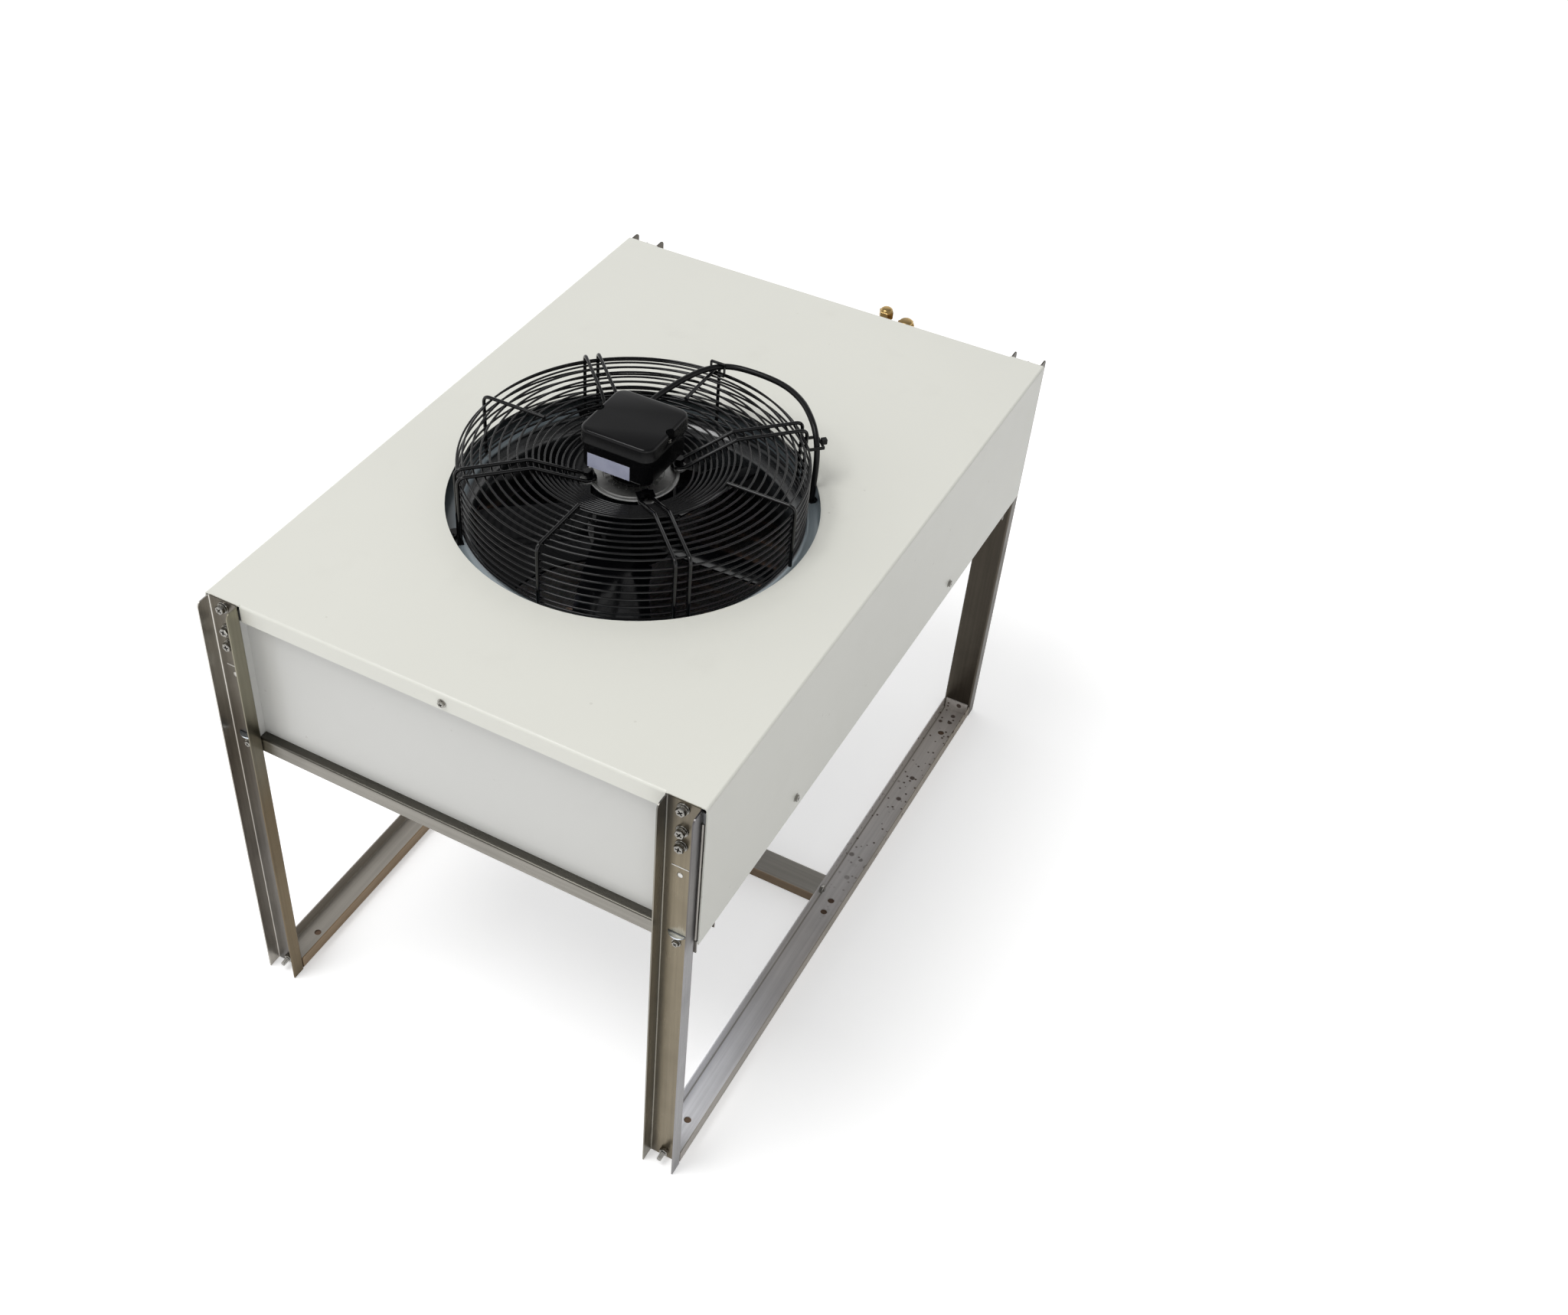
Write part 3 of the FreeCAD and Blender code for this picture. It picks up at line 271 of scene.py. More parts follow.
def steel(name, color, rough, stretch, streak, splashes=0.0, painted_light_tones=(), metallic=1.0):
    """Bare steel sheet or plated steel: streaks drawn out along one axis, stains and fine pits.
    Dried splashes, where there are any, lie in the rear half of the stand. Each of the tones paints
    light and shade into the colour: it multiplies the colour, and says along which axes, and from where to
    where, it comes in."""
    metal = Finish(name)
    grain = metal.cloud(900.0, 3.0, stretch)
    brush = metal.cloud(260.0, 4.0, stretch)
    stain = metal.cloud(11.0, 5.0).between(0.45, 0.72)
    clean = metal.tint(brush.between(0.3, 0.7), [c * 0.86 for c in color], color)
    stained_and_painted_colour = metal.tint(stain * 0.25, clean, [c * 0.6 for c in color])
    # Painted light and shade: each tone brightens or darkens the steel over one zone.
    for painted_tone, *ranges in painted_light_tones:
        share = 1.0
        for axis, start, end in ranges:
            share = metal.along(axis).between(start, end) * share
        stained_and_painted_colour = metal.tint(share, stained_and_painted_colour, painted_tone, "MULTIPLY")
    if splashes:
        back = metal.along("Y").between(-0.08, 0.2)
        drops = metal.specks(75.0, 0.34, splashes) + metal.specks(170.0, 0.36, splashes * 0.8)
        stained_and_painted_colour = metal.tint(drops * back * 0.9, stained_and_painted_colour, (0.075, 0.042, 0.026))
    metal.wear(base_color=stained_and_painted_colour, metallic=metallic,
               roughness=rough + grain * 0.14 + stain * 0.12,
               normal=metal.relief(grain, streak, metal.relief(metal.cloud(24.0), 0.0006)))
    return metal


plated = steel("zinc_plate", (0.37, 0.36, 0.335), 0.17, (1, 1, 1), 0.00001)
half_width = 300
half_depth = 437.5
case_top = 610
lip_screw_drop = 12.5
skirt_screw_height = 430
cover_heads = []
for side in (-1, 1):
    lip_place = (0, side * half_depth, case_top - lip_screw_drop)
    cover_heads += hexagon_screw(lip_place, (0, side, 0), 7, 3.4, 5.2, 0.3)
    for y in (-222, 199):
        skirt_place = (side * half_width, y, skirt_screw_height)
        cover_heads += hexagon_screw(skirt_place, (side, 0, 0), 7, 3.4, 5.2, y)
fitted(skin("cover_screw_heads", cover_heads), "condenser", plated, "screws", "cover_screws")

# Stand: four upright channels, the rails and the side plates behind the legs, folded from bare
# steel sheet. The brushing runs along each channel. Web and flanges are painted in different browns
# and greys as painted light and shade: painted reflections and highlights, and painted shade in folds and
# under the cover and panel.
RISE = (1, 1, 0.02)
RUN = (1, 0.02, 1)
CROSS = (0.02, 1, 1)
# Right leg: painted shade on the left flange and the left of the web, painted reflections on the left
# flange's face and on the right flange, painted shade towards the top and on the right flange above the
# rail, and a line of painted shade over the front rail's tongue.
right_leg_steel_painted_light = steel("right_leg_steel_painted_light", (0.26, 0.222, 0.158), 0.22, RISE, 0.00002, painted_light_tones=(
    ((0.60, 0.62, 0.68), ("X", 0.2675, 0.2600)), ((2.10, 2.25, 2.45), ("X", 0.2588, 0.2574)),
    ((1.30, 1.50, 2.15), ("X", 0.2930, 0.2942)), ((0.76, 0.78, 0.84), ("Z", 0.50, 0.60)),
    ((0.55, 0.52, 0.48), ("X", 0.2930, 0.2942), ("Z", 0.405, 0.440)),
    ((0.34, 0.34, 0.36), ("X", 0.2936, 0.2944), ("Y", -0.4510, -0.4425), ("Z", 0.4140, 0.4240)),
    ((0.18, 0.18, 0.18), ("Z", 0.4138, 0.4142), ("Z", 0.4160, 0.4152), ("X", 0.2648, 0.2652),
     ("X", 0.2862, 0.2858))))
# Left leg: a darker copy of the leg steel as painted shade, with painted reflections on the outer flange,
# the inner flange, the lower web and the top, the lower inner flange painted a darker brown as painted
# shade, and a line of painted shade over the front rail's tongue.
left_leg_steel_painted_light = steel("left_leg_steel_painted_light", (0.125, 0.110, 0.091), 0.24, RISE, 0.00002, painted_light_tones=(
    ((4.20, 4.50, 4.90), ("X", -0.2922, -0.2936)), ((1.70, 1.75, 1.55), ("X", -0.2580, -0.2568)),
    ((1.90, 2.05, 2.35), ("X", -0.2936, -0.2922), ("X", -0.2570, -0.2590), ("Z", 0.40, 0.15)),
    ((0.80, 0.66, 0.50), ("X", -0.2580, -0.2568), ("Z", 0.41, 0.30)),
    ((1.50, 1.55, 1.60), ("Z", 0.42, 0.50)),
    ((0.18, 0.18, 0.18), ("Z", 0.4138, 0.4142), ("Z", 0.4160, 0.4152), ("X", -0.2862, -0.2858),
     ("X", -0.2648, -0.2652))))
# Rear legs: a darker copy of the leg steel, as painted shade.
rear_leg_steel_painted_shade = steel("rear_leg_steel_painted_shade", (0.105, 0.092, 0.074), 0.26, RISE, 0.00002)
plate_steel = steel("plate_steel", (0.34, 0.325, 0.30), 0.2, RISE, 0.00002)
# Right rail: painted shade darkens it behind its front third and more at the rear, where the cover's shadow
# falls, and along the fold of the inner flange and on the outer flange.
right_rail_steel_painted_shade = steel("right_rail_steel_painted_shade", (0.95, 0.96, 1.0), 0.42, RUN, 0.00002, 0.3, (
    ((0.84, 0.81, 0.77), ("Y", -0.33, -0.05)), ((0.92, 0.89, 0.85), ("Y", 0.05, 0.40)),
    ((0.50, 0.48, 0.45), ("X", 0.2572, 0.2580), ("X", 0.2600, 0.2592)),
    ((0.62, 0.57, 0.50), ("X", 0.2920, 0.2935))), 0.12)
# Left rail: its inner flange is painted a darker brown as painted shade.
left_rail_steel_painted_shade = steel("left_rail_steel_painted_shade", (0.52, 0.49, 0.44), 0.3, RUN, 0.00002, 0.12, (
    ((0.62, 0.46, 0.30), ("X", -0.2585, -0.2572)),), 0.5)
# Front and rear rails: the top flange is painted dark as painted shade under the panel, and the tongues
# that poke out through the legs are painted bright as painted highlights.
cross_steel_painted_light = steel("cross_steel_painted_light", (0.31, 0.295, 0.265), 0.22, CROSS, 0.00002, painted_light_tones=(
    ((0.32, 0.32, 0.31), ("Z", 0.4121, 0.4131)), ((8.5, 10, 13), ("Y", -0.4388, -0.4393)),
    ((8.5, 10, 13), ("Y", 0.4388, 0.4393))))
# Floor cross beam: its front face is painted a darker brown as painted shade.
beam_steel_painted_shade = steel("beam_steel_painted_shade", (0.46, 0.44, 0.40), 0.34, CROSS, 0.00002, painted_light_tones=(
    ((0.42, 0.31, 0.21), ("Y", -0.0045, -0.0058)),), metallic=0.5)
dress(right_leg_steel_painted_light, "leg_front_right")
dress(left_leg_steel_painted_light, "leg_front_left")
dress(rear_leg_steel_painted_shade, "leg_rear_left", "leg_rear_right")
dress(plate_steel, "side_plate_left", "side_plate_right")
dress(right_rail_steel_painted_shade, "floor_rail_right")
dress(left_rail_steel_painted_shade, "floor_rail_left")
dress(cross_steel_painted_light, "front_rail", "rear_rail")
dress(beam_steel_painted_shade, "floor_cross_beam")

# Screws of the legs: large hexagon heads with a flange, three into the side plate and the deck and
# a smaller one into the rail, in each leg.
leg_x = 275.5
leg_face = 439.0
rail_screw_height = 399.5
leg_heads = []
rail_heads = []
for side in (-1, 1):
    for x in (-leg_x, leg_x):
        for i, drop in enumerate((10, 41, 62)):
            place = (x, side * leg_face, case_top - drop)
            leg_heads += hexagon_screw(place, (0, side, 0), 10, 7.4, 7.0, 0.4 * i + x, 1.8)
        rail_place = (x, side * leg_face, rail_screw_height)
        rail_heads += hexagon_screw(rail_place, (0, side, 0), 7, 3.6, 5.4, x)
fitted(skin("leg_screw_heads", leg_heads), "condenser", plated, "screws", "leg_screws")
fitted(skin("rail_screw_heads", rail_heads), "condenser", plated, "screws", "rail_screws")

# Rivets of the legs: one low domed head in each web, under the slit, and in the slit the bright
# edge of a tab of the side plate.
bright = steel("bright_edge", (0.72, 0.71, 0.68), 0.2, (1, 1, 1), 0.00001)
slit_height = 516
rivet_height = 504.5
tab_half_length = 9.8
tab_half_thickness = 0.7
rivet_dome = ((3.4, 0), (3.3, 0.5), (2.6, 1.0), (1.3, 1.25))
rivets = []
tabs = []
for side in (-1, 1):
    for x in (-leg_x, leg_x):
        at = facing(Vector((x, side * leg_face, rivet_height)) * MM, (0, side, 0))
        rivets.append([loop(at, r * MM, h * MM, 24) for r, h in rivet_dome])
        tab = []
        for level, inset in ((-1.3, 0), (0.3, 0), (0.6, 0.3)):
            corners = [(x + a * (tab_half_length - inset), side * (leg_face + level),
                        slit_height + b * (tab_half_thickness - inset))
                       for a, b in ((-1, -1), (1, -1), (1, 1), (-1, 1))]
            tab.append([Vector(corner) * MM for corner in corners])
        tabs.append(tab)
fitted(skin("leg_rivets", rivets), "condenser", bright, "screws")
fitted(skin("slit_tabs", tabs), "condenser", bright, "stainless")

# Foot bolts: a nut on the end of a threaded shank that comes through the leg from the tab of the
# floor rail, and a nut inside each floor rail for the cross beam.
def threaded(place, out, radius, length):
    at = facing(Vector(place) * MM, out)
    rings = []
    turns = int(length)
    for i in range(turns):
        rings.append(loop(at, radius * 0.84 * MM, i * MM, 14))
        rings.append(loop(at, radius * MM, (i + 0.5) * MM, 14))
    return [rings]


def nut(place, out, across, height, turn=0.0):
    at = facing(Vector(place) * MM, out)
    corner = across / math.sqrt(3) * MM
    high = height * MM
    return [[loop(at, corner * 0.9, 0, 6, turn), loop(at, corner, 0.12 * high, 6, turn),
             loop(at, corner, 0.88 * high, 6, turn), loop(at, corner * 0.88, high, 6, turn)]]


shank_radius = 3.0
foot_bolt_height = 12
rail_inner_face = 257.0
beam_bolt_y = 14.0
beam_bolt_height = 12.5
bolt_ends = []
for side in (-1, 1):
    for x in (-leg_x, leg_x):
        place = (x, side * leg_face, foot_bolt_height)
        bolt_ends += threaded(place, (0, side, 0), shank_radius, 15)
        bolt_ends += nut(place, (0, side, 0), 10, 5, x)
fitted(skin("foot_bolt_ends", bolt_ends), "condenser", plated, "screws", "foot_bolts")
beam_ends = []
for side in (-1, 1):
    place = (side * rail_inner_face, beam_bolt_y, beam_bolt_height)
    beam_ends += nut(place, (side, 0, 0), 10, 5, 0.2)
    beam_ends += threaded(place, (side, 0, 0), shank_radius, 7)
fitted(skin("beam_nut_ends", beam_ends), "condenser", plated, "screws", "beam_nuts")


# Fan deck and the coil's end plates: galvanised sheet with a faint crystal pattern. The deck lies
# under the cover, and the end plates hold the coil's tubes at both sides.
def galvanised_sheet():
    zinc = Finish("galvanised")
    spangle = zinc.add("ShaderNodeTexVoronoi", {}, {"Vector": zinc.place, "Scale": 90.0}, "Color")
    shade = zinc.add("ShaderNodeSeparateColor", {}, {0: spangle})
    zinc.wear(base_color=zinc.tint(shade * 0.6, (0.42, 0.43, 0.44), (0.6, 0.61, 0.62)), metallic=1.0,
              roughness=0.38 + shade * 0.15, normal=zinc.relief(shade, 0.00002))
    return zinc


galvanised = galvanised_sheet()
dress(galvanised, "fan_deck", "tube_sheet_left", "tube_sheet_right", "valve_bracket")

# Coil: thin aluminium fins pressed on copper tubes, seen from below and through the shroud. The
# fins stand upright, one beside the other, from one end plate to the other.
fin_metal = steel("fin_aluminium", (0.72, 0.73, 0.74), 0.3, (1, 0.2, 1), 0.00001)
fin_low, fin_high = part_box("coil_fins")
fin_mesh = bpy.data.meshes.new("fin_pack")
fin_work = bmesh.new()
fin_count = 190
fin_thickness = 0.0003
for i in range(fin_count):
    x = fin_low.x + (fin_high.x - fin_low.x) * (i + 0.5) / fin_count
    size = Matrix.Diagonal((fin_thickness, fin_high.y - fin_low.y, fin_high.z - fin_low.z, 1))
    bmesh.ops.create_cube(fin_work, size=1.0, matrix=Matrix.Translation(
        (x, (fin_low.y + fin_high.y) / 2, (fin_low.z + fin_high.z) / 2)) @ size)
fin_work.to_mesh(fin_mesh)
fin_work.free()
fitted(fin_mesh, "condenser", fin_metal, "fins", "coil_fins")


# Tubes of the coil: copper, straight through the fins and joined in pairs by round bends at the
# ends, with two pipes that rise at the rear right and run to the valves.
def rounded(points, radius, steps=7):
    """A line through points with each corner rounded."""
    route = [points[0]]
    for before, corner, after in zip(points, points[1:], points[2:]):
        back = (before - corner).normalized()
        ahead = (after - corner).normalized()
        reach = radius / math.tan(back.angle(ahead) / 2)
        first = corner + back * reach
        last = corner + ahead * reach
        for i in range(steps + 1):
            t = i / steps
            route.append(first * (1 - t) ** 2 + corner * (2 * t * (1 - t)) + last * t ** 2)
    return route + [points[-1]]


def round_wire(name, lines, radius, closed=False, kind="POLY"):
    """Round wire or tube along each line, as one mesh."""
    curve = bpy.data.curves.new(name, "CURVE")
    curve.dimensions = "3D"
    curve.bevel_depth = radius
    curve.bevel_resolution = 3
    curve.use_fill_caps = True
    for line in lines:
        spline = curve.splines.new(kind)
        spline.points.add(len(line) - 1)
        for point, place in zip(spline.points, line):
            point.co = (*place, 1)
        spline.use_cyclic_u = closed
        if kind == "NURBS":
            spline.order_u = 3
            spline.use_endpoint_u = True
            spline.resolution_u = 16
    carrier = bpy.data.objects.new(name + "_line", curve)
    bpy.context.scene.collection.objects.link(carrier)
    bpy.context.view_layer.update()
    mesh = bpy.data.meshes.new_from_object(carrier.evaluated_get(bpy.context.evaluated_depsgraph_get()))
    bpy.data.objects.remove(carrier)
    mesh.name = name
    return settled(mesh, 50)


def aged_metal(name, bright, dark, rough):
    """Copper or brass with handling marks and a dull film in patches."""
    metal = Finish(name)
    film = metal.cloud(35.0, 5.0).between(0.4, 0.7)
    metal.wear(base_color=metal.tint(film, bright, dark), metallic=1.0,
               roughness=rough + film * 0.2, normal=metal.relief(metal.cloud(700.0), 0.00002))
    return metal


copper = aged_metal("copper_tube", (0.80, 0.44, 0.29), (0.42, 0.22, 0.15), 0.22)


tube_pitch = 38.1
row_stagger = 9.525
row_height = 33
coil_bottom = 418
tube_end_x = 247.5
last_column = 19


def tube_end(column, row, side):
    stagger = row_stagger if row == 0 else -row_stagger
    return Vector((side * tube_end_x, (column - last_column / 2) * tube_pitch - stagger,
                   coil_bottom + (row + 0.5) * row_height)) * MM


def hairpin_bend(first, second, side):
    """A half circle between two tube ends, with a straight stretch of 5 mm on each."""
    out = Vector((side * 5 * MM, 0, 0))
    middle = (first + second) / 2 + out
    half = (first - second) / 2
    line = [first]
    for i in range(13):
        angle = math.pi * i / 12
        line.append(middle + half * math.cos(angle) + Vector((side * half.length * math.sin(angle), 0, 0)))
    return line + [second]


right_bends = [hairpin_bend(tube_end(0, 0, 1), tube_end(0, 1, 1), 1)]
left_bends = []
for row in range(2):
    for column in range(1, last_column - 1, 2):
        right_bends.append(hairpin_bend(tube_end(column, row, 1), tube_end(column + 1, row, 1), 1))
    for column in range(0, last_column, 2):
        left_bends.append(hairpin_bend(tube_end(column, row, -1), tube_end(column + 1, row, -1), -1))
bend_radius = 7.94 * MM
fitted(round_wire("bends_right", right_bends, bend_radius), "condenser", copper, "copper",
       "return_bends_right")
fitted(round_wire("bends_left", left_bends, bend_radius), "condenser", copper, "copper",
       "return_bends_left")
runs = [[tube_end(column, row, -1), tube_end(column, row, 1)]
        for row in range(2) for column in range(last_column + 1)]
fitted(round_wire("coil_tubes", runs, 7.6 * MM), "condenser", copper, "copper")
riser_x = 0.2675
flare_level = 0.556


def riser(row, valve_x, mouth):
    """The route of a pipe from the last tube of a row up to the level of the flares and across."""
    start = tube_end(last_column, row, 1)
    return rounded([start, Vector((riser_x, start.y, start.z)), Vector((riser_x, start.y, flare_level)),
                    Vector((valve_x, start.y, flare_level)), Vector((valve_x, mouth, flare_level))], 0.014)


fitted(round_wire("liquid_line", [riser(0, 0.070, 0.4625)], 4.8 * MM), "condenser", copper, "copper",
       "liquid_pipe")
fitted(round_wire("gas_line", [riser(1, 0.099, 0.4605)], 6.35 * MM), "condenser", copper, "copper",
       "gas_pipe")

# Service valves: machined brass bodies with a hexagon foot, a cap over the stem and a flare
# outlet, standing on a small bracket behind the rear panel.
brass = aged_metal("machined_brass", (0.62, 0.43, 0.18), (0.36, 0.25, 0.11), 0.22)


valve_y = 474.5
hexagon_share = math.cos(math.pi / 6)


def valve(x, body, flare, cap_top, cap_across):
    """The body and the cap of a valve at x, with radii body and flare and the cap's width across
    its flats."""
    up = facing(Vector((x, valve_y, 0)) * MM, (0, 0, 1))
    out = facing(Vector((x, valve_y, 556)) * MM, (0, 1, 0))
    cap_foot = cap_top - 14
    low = [(body + 3, 534), (body + 3, 536.4), (body + 2.4, 537)]
    foot = [loop(up, r / hexagon_share * MM, z * MM, 6) for r, z in low]
    barrel = [(body - 0.6, 536.5), (body, 538), (body, cap_foot - 6), (body - 1.2, cap_foot - 4.6),
              (body - 1.2, cap_foot - 2.6), (body - 0.2, cap_foot - 1.6), (body - 0.2, cap_foot)]
    stem = [loop(up, r * MM, z * MM, 32) for r, z in barrel]
    socket = [(body - 1, 0), (body - 1, -body - 3.4), (body - 1.6, -body - 4)]
    inlet = [loop(out, r * MM, y * MM, 28) for r, y in socket]
    collar = [loop(out, (flare + 2) / hexagon_share * MM, y * MM, 6)
              for y in (body * 0.4, body + 3.6, body + 4)]
    thread = [loop(out, flare * MM, 0, 28)]
    for i in range(10):
        thread.append(loop(out, flare * MM, (body + 4.6 + i) * MM, 28))
        thread.append(loop(out, (flare - 0.45) * MM, (body + 5.1 + i) * MM, 28))
    thread += [loop(out, (flare - 0.8) * MM, (body + 14.6) * MM, 28),
               loop(out, flare * 0.62 * MM, (body + 16) * MM, 28),
               loop(out, flare * 0.5 * MM, (body + 15.4) * MM, 28),
               loop(out, flare * 0.46 * MM, (body + 9) * MM, 28)]
    half = cap_across / 2
    corner = half / hexagon_share
    sides = [(corner * 0.94, cap_foot), (corner, cap_foot + 1), (corner, cap_top - 4.2),
             (corner * 0.9, cap_top - 3.2)]
    cap = [loop(up, r * MM, z * MM, 6) for r, z in sides]
    crown = [(half - 0.9, cap_top - 3.6), (half - 1.3, cap_top - 1.6), (half - 2.6, cap_top - 0.4),
             (half - 4.4, cap_top)]
    dome = [loop(up, r * MM, z * MM, 32) for r, z in crown]
    return [foot, stem, inlet, collar, thread], [cap, dome]


liquid_body, liquid_cap = valve(70, 8, 7.9375, 600, 16.8)
gas_body, gas_cap = valve(99, 10, 9.525, 591, 20)
fitted(skin("liquid_valve_body", liquid_body), "condenser", brass, "brass", "liquid_valve")
fitted(skin("gas_valve_body", gas_body), "condenser", brass, "brass", "gas_valve")
fitted(skin("valve_stem_caps", liquid_cap + gas_cap), "condenser", brass, "brass", "valve_caps")

# Fan shroud: a spun sheet ring with a flange under the cover and a flared lip into the throat,
# in a glossy dark blue-grey coat with patches of dust. The lip is painted paler at the right and
# front as painted light, and the throat inside it is painted near black as painted shade.
fan_y = -62.5
fan = Vector((0, fan_y, case_top)) * MM
on_axis = Matrix.Translation(fan)


def turned(profile, sides):
    """Rings about the fan axis through (radius, height) points in millimetres."""
    return [loop(on_axis, radius * MM, height * MM, sides) for radius, height in profile]


def glossy_coat(name, color, dust, rough, share, gloss, throat_shade_colour=None):
    """Glossy dark coat or moulding with a thin film of dust that dulls it in places. Where a throat
    colour is given, the fan's lip is painted paler at the right and front as painted light, and inside
    the lip the coat takes that throat colour as painted shade."""
    coat = Finish(name)
    coat.surface.inputs["Specular IOR Level"].default_value = gloss
    if throat_shade_colour:
        across = coat.along("X")
        forward = coat.along("Y") - fan.y
        # Painted light: the coat is 2.6 times paler towards the right and at the front of the lip.
        lit = across.between(0.12, 0.205) + forward.between(-0.12, -0.17)
        pale = coat.tint(lit, color, [2.6 * c for c in color])
        # Painted shade: inside the fan's lip the coat takes the near black throat colour.
        painted_throat_shade_reach = across * across + forward * forward - forward * 0.016
        color = coat.tint(painted_throat_shade_reach.between(0.1915 ** 2, 0.1955 ** 2), throat_shade_colour, pale)
    film = coat.cloud(26.0, 6.0).between(0.42, 0.78) * share + coat.specks(240.0, 0.2, 0.1) * share
    coat.wear(base_color=coat.tint(film, color, dust), roughness=rough + film * 0.4,
              normal=coat.relief(coat.cloud(500.0), 0.00003))
    return coat


# The shroud's throat is painted near black as painted shade, and its lip paler at the right and front as
# painted light.
shroud_coat = glossy_coat("shroud_coat", (0.135, 0.160, 0.175), (0.24, 0.26, 0.27), 0.16, 0.2, 0.9,
                          (0.006, 0.007, 0.008))
lip_radius = 20
lip_steps = 12
shroud_sheet = 1.5
lip = []
under_lip = []
for i in range(lip_steps + 1):
    angle = math.pi / 2 * i / lip_steps
    radius = 199 - lip_radius * math.sin(angle)
    level = -40 + lip_radius * math.cos(angle)
    lip.append((radius, level))
    under_lip.append((radius + shroud_sheet * math.sin(angle), level - shroud_sheet * math.cos(angle)))
mouth = [(179, -80.6), (179.7, -82), (180.5, -80.6)]
flange = [(236, -21.5), (236, -20)]
shroud_rings = turned([(236, -20)] + lip + mouth + under_lip[::-1] + flange, 128)
fitted(skin("shroud_bell", [shroud_rings], 40), "condenser", shroud_coat, "shroud_paint", "fan_shroud")

# Wire guard: round steel wire, welded where it crosses, in a gloss black coat. Four hairpins carry
# the motor, four short bars stiffen the rim, and rings of thinner wire lie under them.
guard_black = glossy_coat("guard_black", (0.0025, 0.0025, 0.003), (0.05, 0.048, 0.046), 0.1, 0.02, 0.42)


def round_axis(points, degrees):
    """Points given in millimetres from the fan axis, turned about it and set in place."""
    turn = on_axis @ Matrix.Rotation(math.radians(degrees), 4, "Z")
    return [turn @ (Vector(point) * MM) for point in points]


guard_radius = 198
guard_height = 65.3
strut_gap = 7.9
cone_outer = 116.5
cone_inner = 56
nose_height = 37.7
strut_bend = 9
strut_bolt_radius = 52


def slope_height(radius):
    """The height of the bars where they slope down to the motor."""
    return nose_height + (guard_height - nose_height) * (radius - cone_inner) / (cone_outer - cone_inner)


struts = []
for quarter in range(4):
    corners = [(guard_radius, -18.5), (guard_radius, guard_height), (cone_outer, guard_height)]
    side = rounded([Vector((r, strut_gap, z)) for r, z in corners], strut_bend, 8)
    side += [Vector((115, strut_gap, 64.9)), Vector((60, strut_gap, 39.4)), Vector((56.5, strut_gap, 37.9))]
    nose = []
    for i in range(11):
        angle = math.pi / 2 + math.pi / 2 * i / 10
        nose.append(Vector((strut_bolt_radius + strut_gap * math.cos(angle), strut_gap * math.sin(angle),
                            nose_height)))
    half = side + nose
    other = [Vector((p.x, -p.y, p.z)) for p in half[:-1]][::-1]
    struts.append(round_axis(half + other, 45 + 90 * quarter))
    corners = [(guard_radius, -14), (guard_radius, guard_height), (116, guard_height)]
    short_bar = rounded([Vector((r, 0, z)) for r, z in corners], strut_bend, 8)
    struts.append(round_axis(short_bar, 90 * quarter))
fitted(round_wire("guard_bars", struts, 2.1 * MM), "condenser", guard_black, "black_wire", "guard_struts")


def wire_ring(radius, height):
    """A ring of 120 points about the fan axis."""
    ring = []
    for i in range(120):
        angle = math.radians(3 * i)
        ring.append((radius * math.cos(angle), radius * math.sin(angle), height))
    return round_axis(ring, 0)


ring_wire = 1.25 * MM
wall_radius = 194.65
wall = [wire_ring(wall_radius, 55 - 10 * i) for i in range(7)] + [wire_ring(wall_radius, -11.5)]
fitted(round_wire("guard_wall_wires", wall, ring_wire, True), "condenser", guard_black, "black_wire",
       "guard_wall_rings")
top = [wire_ring(188 - 10 * i, 61.95) for i in range(8)]
top += [wire_ring(111 - 6.4 * i, slope_height(111 - 6.4 * i) - 3.6) for i in range(8)]
fitted(round_wire("guard_top_wires", top, ring_wire, True), "condenser", guard_black, "black_wire",
       "guard_top_rings")
dress(guard_black, "guard_feet")
foot_screw_radius = 204.9
foot_screw_drop = 18.5
foot_heads = []
for quarter in range(4):
    angle = math.radians(45 + 90 * quarter)
    place = (foot_screw_radius * math.cos(angle), fan_y + foot_screw_radius * math.sin(angle),
             case_top - foot_screw_drop)
    foot_heads += hexagon_screw(place, (0, 0, 1), 7, 2.8, 5.0, angle)
fitted(skin("guard_foot_heads", foot_heads), "condenser", guard_black, "black_wire", "guard_foot_screws")

# Motor: a turned aluminium top plate that stays still, with a plate and screw over each hairpin, and
# a black bell under it that turns with the blades.
alloy = steel("motor_alloy", (0.50, 0.50, 0.49), 0.34, (1, 1, 1), 0.00003)
dress(guard_black, "motor_clamp_screws")
dress(plated, "rotor_shaft")
rim = [(50.0, 31.7), (51, 32.5), (51, 33.6), (50.4, 34.6), (48.0, 35.0)]
grooves = [(47.2, 33.6), (46.2, 33.6), (45.4, 35.0), (34.4, 35.6), (33.4, 34.0), (32.4, 34.0),
           (25.5, 34.6), (24.8, 35.6)]
disc = turned([(20, 31.7)] + rim + grooves + [(20, 35.6), (20, 31.7)], 96)
lug_side = ((8.2, 31.6), (9, 32.4), (9, 34.8), (8.2, 35.6))
lugs = []
for quarter in range(4):
    angle = math.radians(45 + 90 * quarter)
    at = on_axis @ Matrix.Translation(
        Vector((strut_bolt_radius * math.cos(angle), strut_bolt_radius * math.sin(angle), 0)) * MM)
    lugs.append([loop(at, r * MM, z * MM, 36) for r, z in lug_side])
ribs = []
for i in range(24):
    angle = 2 * math.pi * i / 24
    rib = [(r * math.cos(angle) - w * math.sin(angle), r * math.sin(angle) + w * math.cos(angle))
           for r, w in ((25.5, -0.6), (25.5, 0.6), (32.4, 0.6), (32.4, -0.6))]
    ribs.append([round_axis([(x, y, z) for x, y in rib], 0) for z in (34.4, 35.5)])
spigot = turned([(43, 31.8), (43, 25.7), (20, 25.7), (20, 31.8), (43, 31.8)], 64)
fitted(skin("motor_top", [disc, spigot] + lugs + ribs), "condenser", alloy, "motor_alloy", "stator_cover")
